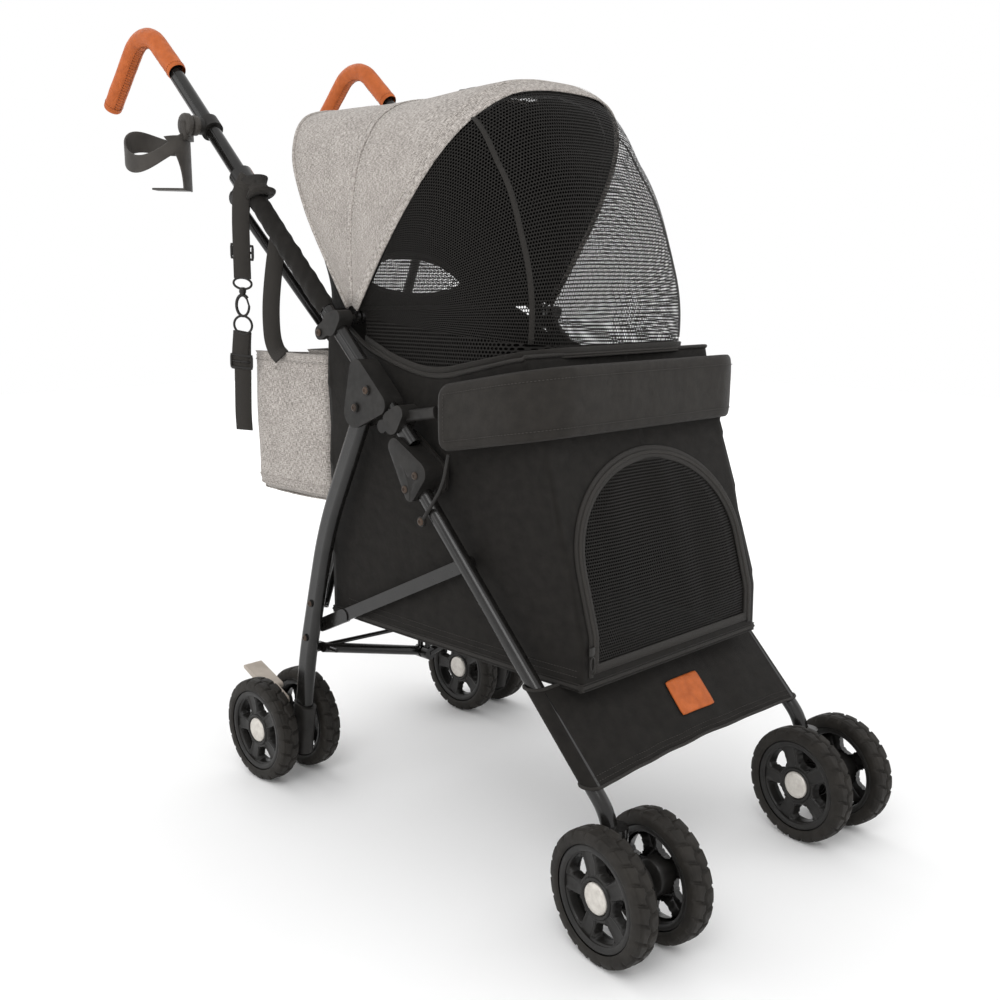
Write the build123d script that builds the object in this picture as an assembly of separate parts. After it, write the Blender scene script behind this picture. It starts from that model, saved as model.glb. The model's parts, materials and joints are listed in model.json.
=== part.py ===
from build123d import *
import math
import os

# Pet stroller with an umbrella fold. Millimetres, +Z up, front towards -Y, right side at -X.
# The model is drawn on the plane of symmetry x = 0, with the floor at z = 0, and is moved at
# the end so that the origin is the middle of the underside of its bounding box.

# ---- driving dimensions -------------------------------------------------------------------
SIDE_X = 190.0            # side frames stand this far from the middle
WHEEL_R = 71.0
TYRE_HALF = 14.2
BEAD_R = 55.4
HUB_CAP_R = 17.0
REAR_OFFSET = 34.8        # wheel mid-plane from the middle of a rear pair
FRONT_OFFSET = 38.4
REAR_AXLE = (245.0, WHEEL_R)       # y, z
CASTER_Y = -352.0         # vertical swivel axis of the front casters
CASTER_TRAIL = 25.0
CASTER_YAW = -9.2         # how the casters stand at rest, degrees
AXLE_R = 4.0
AXLE_REACH = 6.0          # axle ends inside the hub, this far past the wheel's mid-plane

HANDLE_FOOT = (-42.0, 491.4)       # side-plane points are (y, z)
HANDLE_CORNER = (534.0, 1039.0)
HANDLE_TIP = (640.0, 937.0)
HANDLE_BEND = 54.0
TUBE_WIDE, TUBE_THIN = 22.0, 16.0
TUBE_WALL = 1.5
GRIP_R = 13.5
LEG_R = 9.0
FRONT_LEG = [(-30.0, 468.0), (-338.0, 141.0), (-352.0, 104.0)]
FRONT_LEG_BEND = 60.0
REAR_LEG = [(50.0, 524.0), (132.0, 365.0), (183.0, 180.0), (201.0, 60.0)]
REAR_WIDE, REAR_THIN = 28.0, 16.0

LEG_PIVOT = (48.0, 530.0)          # rear leg hinge on the side frame
STRUT_PIVOT = (-119.0, 362.0)      # side strut hinge on the front leg
STRUT_END = (165.0, 227.5)
BRACE_TOP = (312.0, 788.0)         # crossed rear brace, swivel yoke below the handle tube
BRACE_FOOT = (160.4, 262.0)        # open pivot on the opposite rear leg
BRACE_X = 164.0
BRACE_STEPS = (34.0, 15.0)         # right and left brace tubes stand this far behind the yokes
LINK_PIVOT = (180.0, 193.0)        # lower cross link hinge on the rear leg
LINK_X = 168.0
LINK_DROP = 43.0                   # middle knuckle below the link hinges
LINK_END = 6.0                     # the tube runs this far past its hinge pin
LINK_STEP = 11.5                   # the right link stands this far in front of its hinge
LINK_GAP = 16.0                    # and the left one this much further
HOOD_PIVOT = (89.0, 636.0)
BRAKE_PIVOT = (243.0, 104.0)
LEVER_PIVOT = (-62.0, 460.0)
BRACKET_BOLT = (26.0, 552.0)
LATCH_BOLTS = [LEVER_PIVOT, (-44.0, 442.0)]
HINGE_BOLT = (121.0, 617.0)
LEG_BOLT = (174.0, 212.0)
STAY_EYE = (-68.0, 407.0)
BRACE_CLAMP_Y = 292.0              # fittings on the handle tube are placed by y
BUMPER_CLAMP_Y = -15.0
HOOD_HINGE_Y = 101.0
GRIP_FOOT_Y = 448.0

HOOD_HALF = 177.0
REAR_BOW_ANGLE, REAR_BOW_R = 52.0, 350.0
FRONT_BOW_ANGLE, FRONT_BOW_R = 126.0, 324.0
ROOF_RISE = 275.0                  # height of the taut roof above the hood pivots
HOOD_SPLIT = 88.0
PANEL_START = 14.0                 # the hood panels start this far from the pivots
FABRIC = 2.5

TUB_HALF = 168.0
TUB_WALL = 3.0
TUB_PROFILE = [(-284, 245), (-284, 305), (-262, 381), (-222, 512), (-196, 598),
               (-50, 567), (30, 585), (95, 610), (128, 648), (154, 645), (154, 245)]
DOOR_HALF, DOOR_FOOT, DOOR_TOP = 148.0, 264.0, 484.0
DOOR_HINGE = (-283.5, 267.6)
BAG_HALF, BAG_Y, BAG_Z = 168.0, (157.0, 352.0), (392.0, 580.0)
BAG_RECESS, BAG_RECESS_Y = 102.0, 296.0    # the bag's front gives way to the crossed brace
BUMPER_HALF, BUMPER_H, BUMPER_T = 188.0, 74.0, 14.0
BUMPER_TILT = 10.0
CUP_TUBE = (370.0, 883.0)
CUP_R = 42.0
STRAP_TOP, STRAP_FOOT = (-206.5, 268.0, 790.0), (-172.0, 345.0, 470.0)
STRAP_HOOK, STRAP_RING = 0.36, 0.55        # share of the strap's run where hook and ring sit

nodes = {}


# ---- helpers ------------------------------------------------------------------------------
def yz(point, x=0.0):
    return Vector(x, point[0], point[1])


def on_tube(y):
    """Height of the straight handle tube's axis at a given y."""
    slope = (HANDLE_CORNER[1] - HANDLE_FOOT[1]) / (HANDLE_CORNER[0] - HANDLE_FOOT[0])
    return HANDLE_FOOT[1] + slope * (y - HANDLE_FOOT[0])


def swept(points, section, bends=None):
    """Sweep a section, drawn with its first axis along X, along straight runs and arcs."""
    points = [Vector(p) for p in points]
    if bends:
        path = FilletPolyline(*points, radius=bends)
    else:
        path = Polyline(*points)
    start = Plane(points[0], x_dir=(1, 0, 0), z_dir=points[1] - points[0])
    return sweep(start * section, path=path)


def rod(a, b, radius):
    """Round bar between two points."""
    a, b = Vector(a), Vector(b)
    upright = Cylinder(radius, (b - a).length, align=(Align.CENTER, Align.CENTER, Align.MIN))
    return Plane(a, z_dir=b - a) * upright


def x_disc(point, radius, x0, x1):
    """Disc about an axis along X through a side-plane point."""
    return rod((x0, point[0], point[1]), (x1, point[0], point[1]), radius)


def hull_plate(circles, x0, x1):
    """Plate in the side plane: the hull of (y, z, radius) circles, from x0 to x1."""
    edges = []
    for y, z, radius in circles:
        edges += (Pos(y, z) * Circle(radius)).edges()
    outline = make_hull(edges)
    return extrude(Plane.YZ.offset(x0) * outline, x1 - x0)


def slot_tube(wide, thin, wall=TUBE_WALL):
    """Hollow flat-sided section, thin along X and wide in the side plane."""
    outer = SlotOverall(wide, thin, rotation=90)
    return outer - SlotOverall(wide - 2 * wall, thin - 2 * wall, rotation=90)


def round_tube(radius, wall=TUBE_WALL):
    return Circle(radius) - Circle(radius - wall)


def add_pair(name, right):
    """A right-hand piece and its mirror image on the left."""
    nodes[name + "_right"] = right
    nodes[name + "_left"] = mirror(right, about=Plane.YZ)


def group(*solids):
    flat = []
    for item in solids:
        flat += item.solids()
    return Compound(children=flat)


# ---- side frames --------------------------------------------------------------------------
def handle_tube():
    points = [(-SIDE_X, *HANDLE_FOOT), (-SIDE_X, *HANDLE_CORNER), (-SIDE_X, *HANDLE_TIP)]
    tube = swept(points, slot_tube(TUBE_WIDE, TUBE_THIN), HANDLE_BEND)
    clamp = (BRACE_CLAMP_Y, on_tube(BRACE_CLAMP_Y))
    axis = yz((HANDLE_CORNER[0] - clamp[0], HANDLE_CORNER[1] - clamp[1])).normalized()
    middle = yz(clamp, -SIDE_X)
    collar = rod(middle - axis * 11, middle + axis * 11, 16) - solid_tube()
    lug = x_disc(BRACE_TOP, 9, -SIDE_X - 6, -SIDE_X + 6) - solid_tube()
    web = hull_plate([(*clamp, 8), (*BRACE_TOP, 8)], -SIDE_X - 5, -SIDE_X + 5)
    pin = x_disc(BRACE_TOP, 3.8, -SIDE_X, -BRACE_X - 4)
    return group(tube, collar + (web - solid_tube()) + lug + pin)


def solid_tube():
    """The handle tube's outer shape without its bore, to cut fittings that wrap round it."""
    points = [(-SIDE_X, *HANDLE_FOOT), (-SIDE_X, *HANDLE_CORNER), (-SIDE_X, *HANDLE_TIP)]
    return swept(points, SlotOverall(TUBE_WIDE, TUBE_THIN, rotation=90), HANDLE_BEND)


def handle_grip():
    lower = (GRIP_FOOT_Y, on_tube(GRIP_FOOT_Y))
    tip = (HANDLE_TIP[0] + 2.2, HANDLE_TIP[1] - 2.1)
    points = [(-SIDE_X, *lower), (-SIDE_X, *HANDLE_CORNER), (-SIDE_X, *tip)]
    return swept(points, Circle(GRIP_R), HANDLE_BEND) - solid_tube()


def leg_bracket():
    outline = [(46, on_tube(46), 13), (6, on_tube(6), 13), (52, 524, 19)]
    shell = hull_plate(outline, -SIDE_X - 14, -SIDE_X + 14)
    room = hull_plate([(52, 524, 30), (30, 470, 30), (120, 480, 30)], -SIDE_X - 8.6, -SIDE_X + 8.6)
    tube_room = hull_plate([(90, on_tube(90), 13), (-40, on_tube(-40), 13)], -SIDE_X - 12, -SIDE_X + 12)
    body = shell - (room - tube_room) - solid_tube()
    pin = x_disc(LEG_PIVOT, 4, -SIDE_X - 16, -SIDE_X + 16)
    pin += x_disc(LEG_PIVOT, 6, -SIDE_X - 16.5, -SIDE_X - 14)
    bolt = x_disc(BRACKET_BOLT, 6, -SIDE_X - 16.5, -SIDE_X - 14)
    return group(body - x_disc(LEG_PIVOT, 4, -210, -170), pin, bolt)


def front_leg():
    points = [(-SIDE_X, *p) for p in FRONT_LEG]
    leg = swept(points, round_tube(LEG_R), FRONT_LEG_BEND)
    solid = swept(points, Circle(LEG_R), FRONT_LEG_BEND)
    lug = x_disc(STRUT_PIVOT, 9, -SIDE_X, -177.2) - solid
    rivet = x_disc(STRUT_PIVOT, 3, -177.2, -171) + x_disc(STRUT_PIVOT, 6, -172.4, -170.4)
    foot = rod((-SIDE_X, CASTER_Y, 103.4), (-SIDE_X, CASTER_Y, 126), 14) - solid
    bore = rod((-SIDE_X, CASTER_Y, 90), (-SIDE_X, CASTER_Y, 115), 5.2)
    below_foot = rod((-SIDE_X, CASTER_Y, 80), (-SIDE_X, CASTER_Y, 103.6), 20)
    return group(leg - bore - below_foot, lug + rivet, foot - bore)


def latch_circles(grow=0.0):
    return [(-24, 489, 11 + grow), (-64, 463, 14 + grow), (-50, 437, 9 + grow)]


def latch_housing():
    block = hull_plate(latch_circles(), -SIDE_X - 15, -SIDE_X + 12)
    block -= solid_tube()
    block -= swept([(-SIDE_X, *p) for p in FRONT_LEG], Circle(LEG_R), FRONT_LEG_BEND)
    bolts = [x_disc(p, 5, -SIDE_X - 17, -SIDE_X - 15) for p in LATCH_BOLTS]
    pivot = x_disc(LEVER_PIVOT, 3, -SIDE_X + 12, -SIDE_X + 18)
    return group(block + pivot, *bolts)


def fold_lever():
    lever = hull_plate([(-22, 500, 9), (-70, 462, 14), (-74, 448, 9)], -SIDE_X + 12.4, -SIDE_X + 16.5)
    return lever - x_disc(LEVER_PIVOT, 3.2, -SIDE_X + 10, -SIDE_X + 20)


def bumper_clamp():
    at = (BUMPER_CLAMP_Y, on_tube(BUMPER_CLAMP_Y))
    block = hull_plate([(*at, 14), (at[0] - 13, at[1] + 12, 9)], -SIDE_X - 13, -SIDE_X + 12)
    arm = swept([(-SIDE_X, at[0] - 16, at[1] + 8), (-SIDE_X, -81, 533)], SlotOverall(14, 9, rotation=90))
    body = block + arm - solid_tube() - hull_plate(latch_circles(0.5), -SIDE_X - 20, -SIDE_X + 20)
    eye = x_disc((2.0, 511.0), 8, -SIDE_X - 12, -SIDE_X - 9)
    stay = swept([(-SIDE_X - 8, -110, 489), (-SIDE_X - 12, -104, 452), (-SIDE_X - 12, -70, 409)],
                 Circle(2.2), 60)
    stay_eye = x_disc(STAY_EYE, 6, -SIDE_X - 14, -SIDE_X - 9.5)
    return group(body, eye - body, stay + stay_eye)


def hood_hinge():
    at = (HOOD_HINGE_Y, on_tube(HOOD_HINGE_Y))
    plate = hull_plate([(*at, 14), (*HOOD_PIVOT, 9)], -SIDE_X - 11, -SIDE_X + 10)
    ear = hull_plate([(*at, 10), (*HINGE_BOLT, 9)], -SIDE_X - 11, -SIDE_X - 4)
    body = plate + ear - solid_tube()
    pin = x_disc(HOOD_PIVOT, 3, -SIDE_X + 10, -HOOD_HALF + 18)
    return group(body + pin, x_disc(HINGE_BOLT, 5, -SIDE_X - 12.5, -SIDE_X - 11))


# ---- rear legs, struts, braces, links ------------------------------------------------------
def rear_leg_solid(grow=0.0):
    points = [(-SIDE_X, *p) for p in REAR_LEG]
    return swept(points, SlotOverall(REAR_WIDE + grow, REAR_THIN + grow, rotation=90), [500, 600])


def rear_leg():
    points = [(-SIDE_X, *p) for p in REAR_LEG]
    leg = swept(points, slot_tube(REAR_WIDE, REAR_THIN, 1.8), [500, 600])
    eye = x_disc(LEG_PIVOT, 12, -SIDE_X - 8, -SIDE_X + 8)
    top = leg + eye - x_disc(LEG_PIVOT, 4.2, -220, -160)
    peg = x_disc(BRACE_FOOT, 5, -SIDE_X + 8, -SIDE_X + 17)
    peg += x_disc(BRACE_FOOT, 9, -SIDE_X + 8, -SIDE_X + 11)
    hinge = x_disc(LINK_PIVOT, 7, -SIDE_X + 8, -SIDE_X + 13)
    fork = Pos(-SIDE_X + 17, *LINK_PIVOT) * Box(10, 7, 12)
    knuckle = yz(LINK_PIVOT, -LINK_X)
    pin = rod(knuckle - Vector(0, 33, 0), knuckle, 2.8)
    boss = rod(knuckle - Vector(0, 3, 0), knuckle + Vector(0, 3, 0), 5.5)
    hook = hinge + fork + pin + boss
    bolts = [x_disc(p, 5, -SIDE_X - 10, -SIDE_X - 8) for p in (LEG_BOLT, BRACE_FOOT)]
    return group(top + peg, hook, *bolts)


def axle_block():
    socket = swept([(-SIDE_X, 191.5, 112), (-SIDE_X, 203, 44)], SlotOverall(35, 23, rotation=90))
    arm = hull_plate([(206, 62, 12), (*REAR_AXLE, 12)], -SIDE_X - 9, -SIDE_X + 9)
    boss = x_disc(REAR_AXLE, 15, -SIDE_X - 12, -SIDE_X + 12)
    ears = hull_plate([(*BRAKE_PIVOT, 7), (240, 78, 9)], -SIDE_X - 10, -SIDE_X + 10)
    room = Pos(-SIDE_X, 243, 110) * Box(10.6, 34, 34)
    body = (socket - rear_leg_solid()) + arm + boss + ears
    body = body - rear_leg_solid() - room - x_disc(REAR_AXLE, AXLE_R, -260, -120)
    body += x_disc(BRAKE_PIVOT, 3, -SIDE_X - 8, -SIDE_X + 8)
    reach = REAR_OFFSET + AXLE_REACH
    axle = x_disc(REAR_AXLE, AXLE_R, -SIDE_X - reach, -SIDE_X + reach)
    return group(body, axle)


def brake_pedal():
    arm = hull_plate([(*BRAKE_PIVOT, 7), (270, 118, 5)], -SIDE_X - 4.8, -SIDE_X + 4.8)
    pad = hull_plate([(268, 117, 4.5), (318, 137, 3)], -SIDE_X - 14, -SIDE_X + 14)
    return arm + pad - x_disc(BRAKE_PIVOT, 3.2, -210, -170)


def strut():
    bar = hull_plate([(*STRUT_PIVOT, 8), (*STRUT_END, 8)], -176.8, -172.8)
    sleeve = hull_plate([(118, 249.8, 9), (*STRUT_END, 9)], -178.5, -171) - bar
    bar -= x_disc(STRUT_PIVOT, 3.2, -180, -160)
    return group(bar, sleeve)


def brace_directions():
    """Unit vectors down the plane of the crossed brace, and square to that plane."""
    run = (BRACE_FOOT[0] - BRACE_TOP[0], BRACE_FOOT[1] - BRACE_TOP[1])
    length = math.hypot(*run)
    down = Vector(0, run[0] / length, run[1] / length)
    return down, Vector(0, -down.Z, down.Y), length


def yoke(side):
    """Swivel piece between the handle tube's clamp and a brace tube."""
    down, out, _ = brace_directions()
    top = yz(BRACE_TOP, -BRACE_X)
    barrel = x_disc(BRACE_TOP, 7, -SIDE_X + 8.5, -BRACE_X - 3)
    tab = Plane(top - out * 4, z_dir=out) * Cylinder(8, 6, align=(Align.CENTER, Align.CENTER, Align.MIN))
    body = barrel + tab - x_disc(BRACE_TOP, 4, -SIDE_X, -BRACE_X - 3.5)
    step = BRACE_STEPS[0] if side < 0 else BRACE_STEPS[1]
    body = body + rod(top, top + out * (step + 9.5), 2.8)
    return body if side < 0 else mirror(body, about=Plane.YZ)


def brace(side):
    """One tube of the crossed rear brace, from its yoke to the opposite rear leg."""
    _, out, _ = brace_directions()
    step = out * (BRACE_STEPS[0] if side < 0 else BRACE_STEPS[1])
    top = yz(BRACE_TOP, side * BRACE_X) + step
    foot = yz(BRACE_FOOT, -side * BRACE_X) + step
    along = (foot - top).normalized()
    start = Plane(top - along * 9, x_dir=out, z_dir=along)
    tube = sweep(start * round_tube(7), path=Line(top - along * 9, foot + along * 9))
    tube -= rod(top - out * 14, top + out * 14, 3.0)
    if side < 0:
        middle = (top + foot) / 2
        tube += rod(middle - out * 6.5, middle - out * (BRACE_STEPS[0] - BRACE_STEPS[1] - 8), 4)
    return tube


def cross_link(side):
    """One half of the lower folding cross link: a tube, and a thin rod above it."""
    y = LINK_PIVOT[0] - LINK_STEP - (LINK_GAP if side > 0 else 0)
    outer = Vector(side * LINK_X, y, LINK_PIVOT[1])
    inner = Vector(0, y, LINK_PIVOT[1] - LINK_DROP)
    along = (inner - outer).normalized()
    end = outer - along * LINK_END
    start = Plane(end, x_dir=(0, 1, 0), z_dir=along)
    bar = sweep(start * Circle(7), path=Line(end, inner))
    upper = rod(outer + Vector(0, 0, 4), inner + Vector(0, 0, 40), 3)
    knuckle = rod(inner - Vector(0, 6, 0), inner + Vector(0, 6, 0), 9)
    post = rod(inner, inner + Vector(0, 0, 42), 4)
    return bar + upper + knuckle + post - rod(outer - Vector(0, 10, 0), outer + Vector(0, 10, 0), 3)


# ---- wheels -------------------------------------------------------------------------------
def tyre():
    """Tyre about the local Z axis, middle plane at zero."""
    body = Cylinder(WHEEL_R, 2 * TYRE_HALF)
    body = fillet(body.edges().filter_by(GeomType.CIRCLE), 6)
    return body - Cylinder(BEAD_R, 4 * TYRE_HALF)


def rim():
    """Five-spoke rim about the local Z axis; the outer face looks along +Z."""
    ring = Cylinder(BEAD_R, 2 * TYRE_HALF - 4.6) - Cylinder(BEAD_R - 8, 40)
    web = Pos(0, 0, 4) * Cylinder(BEAD_R - 6, 9)
    half = [(23, 5), (30, 15.5), (42, 20), (46, 8)]
    outline = [(x, -y) for x, y in half] + half[::-1]
    window = extrude(make_face(Polyline(*outline, close=True)), 40, both=True)
    window = fillet(window.edges().filter_by(Axis.Z), 2.5)
    for step in range(5):
        web -= Rot(0, 0, 72 * step + 18) * window
    hub = Pos(0, 0, -1) * Cylinder(19, 23)
    return ring + web + hub - Cylinder(AXLE_R + 0.2, 60) - Pos(0, 0, 9.2) * Cylinder(HUB_CAP_R, 5)


def hub_cap():
    return Pos(0, 0, 9.6) * Cylinder(HUB_CAP_R - 0.3, 3)


def wheel_pair(prefix, suffix, centre, yaw, offset):
    """Two wheels on one axle: tyres, rims and hub caps as groups of two."""
    parts = {"tyres": tyre(), "rims": rim(), "hub_caps": hub_cap()}
    for name, solid in parts.items():
        pair = []
        for turn, side in ((90, 1), (-90, -1)):
            placed = Pos(side * offset, 0, 0) * Rot(0, turn, 0) * solid
            pair.append(Pos(*centre) * Rot(0, 0, yaw) * placed)
        nodes[prefix + "_" + name + "_" + suffix] = group(*pair)


def caster_centre(side):
    """Middle of a front wheel pair, turned about its swivel axis."""
    yaw = math.radians(CASTER_YAW)
    x = side * SIDE_X + CASTER_TRAIL * math.sin(yaw)
    return x, CASTER_Y - CASTER_TRAIL * math.cos(yaw), WHEEL_R


def caster_fork(side):
    """Swivel housing between a pair of front wheels, with the axle as its second solid."""
    swivel = Vector(side * SIDE_X, CASTER_Y, 0)
    post = Pos(0, 0, 82) * Cylinder(14, 42)
    arm = Pos(0, -CASTER_TRAIL / 2, 70) * Box(26, CASTER_TRAIL + 16, 26)
    on_axle = Pos(0, -CASTER_TRAIL, WHEEL_R) * Rot(0, 90, 0)
    boss = on_axle * Cylinder(19, 30)
    axle_shape = on_axle * Cylinder(AXLE_R, 2 * (FRONT_OFFSET + AXLE_REACH))
    body = post + arm + boss - axle_shape + Pos(0, 0, 107) * Cylinder(5, 14)
    place = Pos(*swivel) * Rot(0, 0, CASTER_YAW)
    return group(place * body, place * axle_shape)


# ---- hood ---------------------------------------------------------------------------------
def roof_radius(angle):
    """Distance of the roof from the hood pivots along the middle: a taut sheet between two bows."""
    flat = ROOF_RISE / math.sin(math.radians(angle))
    return min(flat, REAR_BOW_R if angle < 90 else FRONT_BOW_R)


def arch_points(half, radius, power, count=16):
    """Points of a rounded arch, from the right pivot over the top to the left one."""
    points = []
    for i in range(count + 1):
        t = math.pi * i / count
        c, s = math.cos(t), math.sin(t)
        x = -half * math.copysign(abs(c) ** (2 / power), c)
        points.append((x, radius * abs(s) ** (2 / power)))
    return points


def arch_band(angle, half, radius, power):
    """Thin arched section of a hood panel in one fan plane."""
    out_y = Vector(0, math.cos(math.radians(angle)), math.sin(math.radians(angle)))
    centre = yz(HOOD_PIVOT) + out_y * PANEL_START
    reach = radius - PANEL_START
    outer = [centre + Vector(x, 0, 0) + out_y * r for x, r in arch_points(half, reach, power)]
    inner_arch = arch_points(half - FABRIC, reach - FABRIC, power)
    inner = [centre + Vector(x, 0, 0) + out_y * r for x, r in inner_arch]
    ends = [Line(outer[-1], inner[-1]), Line(inner[0], outer[0])]
    return Face(Wire([Spline(*outer), ends[0], Spline(*reversed(inner)), ends[1]]))


def hood_panel(stations):
    """Loft of arched bands; each station is (angle, half width, radius, corner power)."""
    return loft([arch_band(*station) for station in stations])


def bow(angle, radius, inset):
    """Round wire bow in one fan plane, with a flat eye at each pivot."""
    out_y = Vector(0, math.cos(math.radians(angle)), math.sin(math.radians(angle)))
    centre = yz(HOOD_PIVOT)
    half = HOOD_HALF - FABRIC - inset
    points = [centre + Vector(x, 0, 0) + out_y * (r + 6) for x, r in arch_points(half, radius - 6, 3, 10)]
    path = FilletPolyline(*points, radius=50)
    wire = sweep(Plane(points[0], z_dir=points[1] - points[0]) * Circle(2.5), path=path)
    for side in (-1, 1):
        eye = x_disc(HOOD_PIVOT, 9, side * (half + 2), side * (half - 2))
        wire += eye
        wire -= x_disc(HOOD_PIVOT, 3.2, side * 200, side * 150)
    return wire


# ---- cabin and other soft goods -------------------------------------------------------------
def side_prism(profile, half):
    face = Plane.YZ.offset(-half) * make_face(Polyline(*profile, close=True))
    return extrude(face, 2 * half)


def door_arch(shrink):
    """Arch-topped prism along Y through the front panel."""
    half, foot, top = DOOR_HALF - shrink, DOOR_FOOT + shrink, DOOR_TOP - shrink
    spring = foot + 106
    outline = Wire([Line((-half, foot), (half, foot)), Line((half, foot), (half, spring)),
                    EllipticalCenterArc((0, spring), half, top - spring, 0, arc_size=180),
                    Line((-half, spring), (-half, foot))])
    face = Plane(origin=(0, -215, 0), x_dir=(1, 0, 0), z_dir=(0, -1, 0)) * Face(outline)
    return extrude(face, 110)


def tub_block(inset):
    """The cabin's solid outline, or its inside when inset by the wall."""
    if not inset:
        return side_prism(TUB_PROFILE, TUB_HALF)
    floor_z = TUB_PROFILE[0][1] + inset
    back_y = TUB_PROFILE[-1][0] - inset
    above_rim = 720
    front = [(y + inset, z) for y, z in TUB_PROFILE[:5]]
    front[0] = (front[0][0], floor_z)
    inside = front + [(-190, above_rim), (back_y, above_rim), (back_y, floor_z)]
    return side_prism(inside, TUB_HALF - inset)


def tub_shell():
    return tub_block(0) - tub_block(TUB_WALL) - door_arch(0)


def door_flap():
    """The zipped door: a piece of the front wall, hung from a piping along its foot."""
    panel = (tub_block(0) - tub_block(TUB_WALL)) & door_arch(1.5)
    return panel + rod((-140, *DOOR_HINGE), (140, *DOOR_HINGE), 2)


def floor_pad():
    pad = Pos(0, -66, 254.5) * Box(2 * TUB_HALF - 12, 400, 12)
    return fillet(pad.edges().filter_by(Axis.Z), 20)


def front_apron():
    sheet = [(-256, 245), (-258.5, 242.5), (-330, 163), (-327.5, 160.5)]
    return side_prism([sheet[0], sheet[2], sheet[3], (-253.5, 242.5)], 177)


def bumper_cover():
    tilt = math.radians(BUMPER_TILT)
    front_y, back_y, mid_z = -238.0, -85.0, 553.0

    def at(x, y):
        return Vector(x, y, mid_z - (y - front_y) * math.tan(tilt))
    right = [at(-BUMPER_HALF, back_y), at(-BUMPER_HALF, front_y)]
    left = [at(BUMPER_HALF, front_y), at(BUMPER_HALF, back_y)]
    return swept(right + left, Rectangle(BUMPER_T, BUMPER_H), 56)


def bag_plan(inset):
    """Plan of the bag: a box whose front makes room for the crossed brace in the middle."""
    half, front, back = BAG_HALF - inset, BAG_Y[0] + inset, BAG_Y[1] - inset
    recess, recess_y = BAG_RECESS + inset, BAG_RECESS_Y + inset
    right = [(-half, back), (-half, front), (-recess - 6, front), (-recess, recess_y)]
    left = [(-x, y) for x, y in reversed(right)]
    face = make_face(Polyline(*right, *left, close=True))
    return fillet(face.vertices().group_by(Axis.Y)[-1], 50 - inset)


def storage_bag():
    """Open-topped saddle bag that hangs behind the cabin."""
    height = BAG_Z[1] - BAG_Z[0]
    outer = Pos(0, 0, BAG_Z[0]) * extrude(bag_plan(0), height)
    inner = Pos(0, 0, BAG_Z[0] + 3) * extrude(bag_plan(3), height)
    return outer - inner


def zip_slider():
    foot, head = Vector(-154, -287.5, 268), Vector(-154, -287.5, 286)
    pull = Pos(*((foot + head) / 2)) * Box(9, 2.4, 18)
    return pull + Pos(-154, -286.6, 291) * Box(11, 3.4, 12)


def carry_strap():
    """Flat webbing from the handle tube to the side of the storage bag."""
    top, low = Vector(*STRAP_TOP), Vector(*STRAP_FOOT)
    hook_at = top + (low - top) * STRAP_HOOK
    ring_at = top + (low - top) * STRAP_RING
    web = Rectangle(2.2, 22)
    upper = swept([top, hook_at], web)
    lower = swept([ring_at, low], web)
    return group(upper, lower), hook_at, ring_at


def snap_hook(hook_at, ring_at):
    along = (ring_at - hook_at).normalized()
    swivel = rod(hook_at + along * 0.4, hook_at + along * 12, 5)
    shank = rod(hook_at + along * 12, ring_at - along * 26, 3)
    start = ring_at - along * 14
    plane = Plane(start, x_dir=along, z_dir=(1, 0, 0))
    ring = plane * Torus(12, 1.8)
    return swivel + shank + ring


def cup_clamp():
    at = (CUP_TUBE[0], on_tube(CUP_TUBE[0]))
    middle = yz(at, -SIDE_X)
    axis = yz((HANDLE_CORNER[0] - at[0], HANDLE_CORNER[1] - at[1])).normalized()
    collar = rod(middle - axis * 9, middle + axis * 9, 15) - solid_tube()
    knob = x_disc(at, 11, -SIDE_X - 24, -SIDE_X - 13) - solid_tube()
    return collar + knob


def cup_holder():
    """Bottle cage: a spine with a foot plate, and two crossing bands that close the ring."""
    hinge = Vector(-SIDE_X - 30.5, CUP_TUBE[0], on_tube(CUP_TUBE[0]))
    head = rod(hinge + Vector(6, 0, 0), hinge - Vector(6, 0, 0), 15)
    heading = Vector(-0.64, 0.77, 0).normalized()
    axis_at = hinge + heading * (CUP_R + 4) - Vector(0, 0, 30)
    tall = Plane(axis_at, x_dir=heading)
    wall = Cylinder(CUP_R, 110) - Cylinder(CUP_R - 3, 120)
    spine = wall & (Pos(-CUP_R, 0, -12) * Box(24, 34, 86))
    upper = wall & (Rot(0, 16, 0) * Pos(0, 0, 2) * Box(140, 140, 15))
    foot = Pos(-CUP_R / 2 - 2, 0, -53.5) * Box(CUP_R + 2, 26, 3)
    body = tall * (spine + upper + foot)
    return body + head


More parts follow.
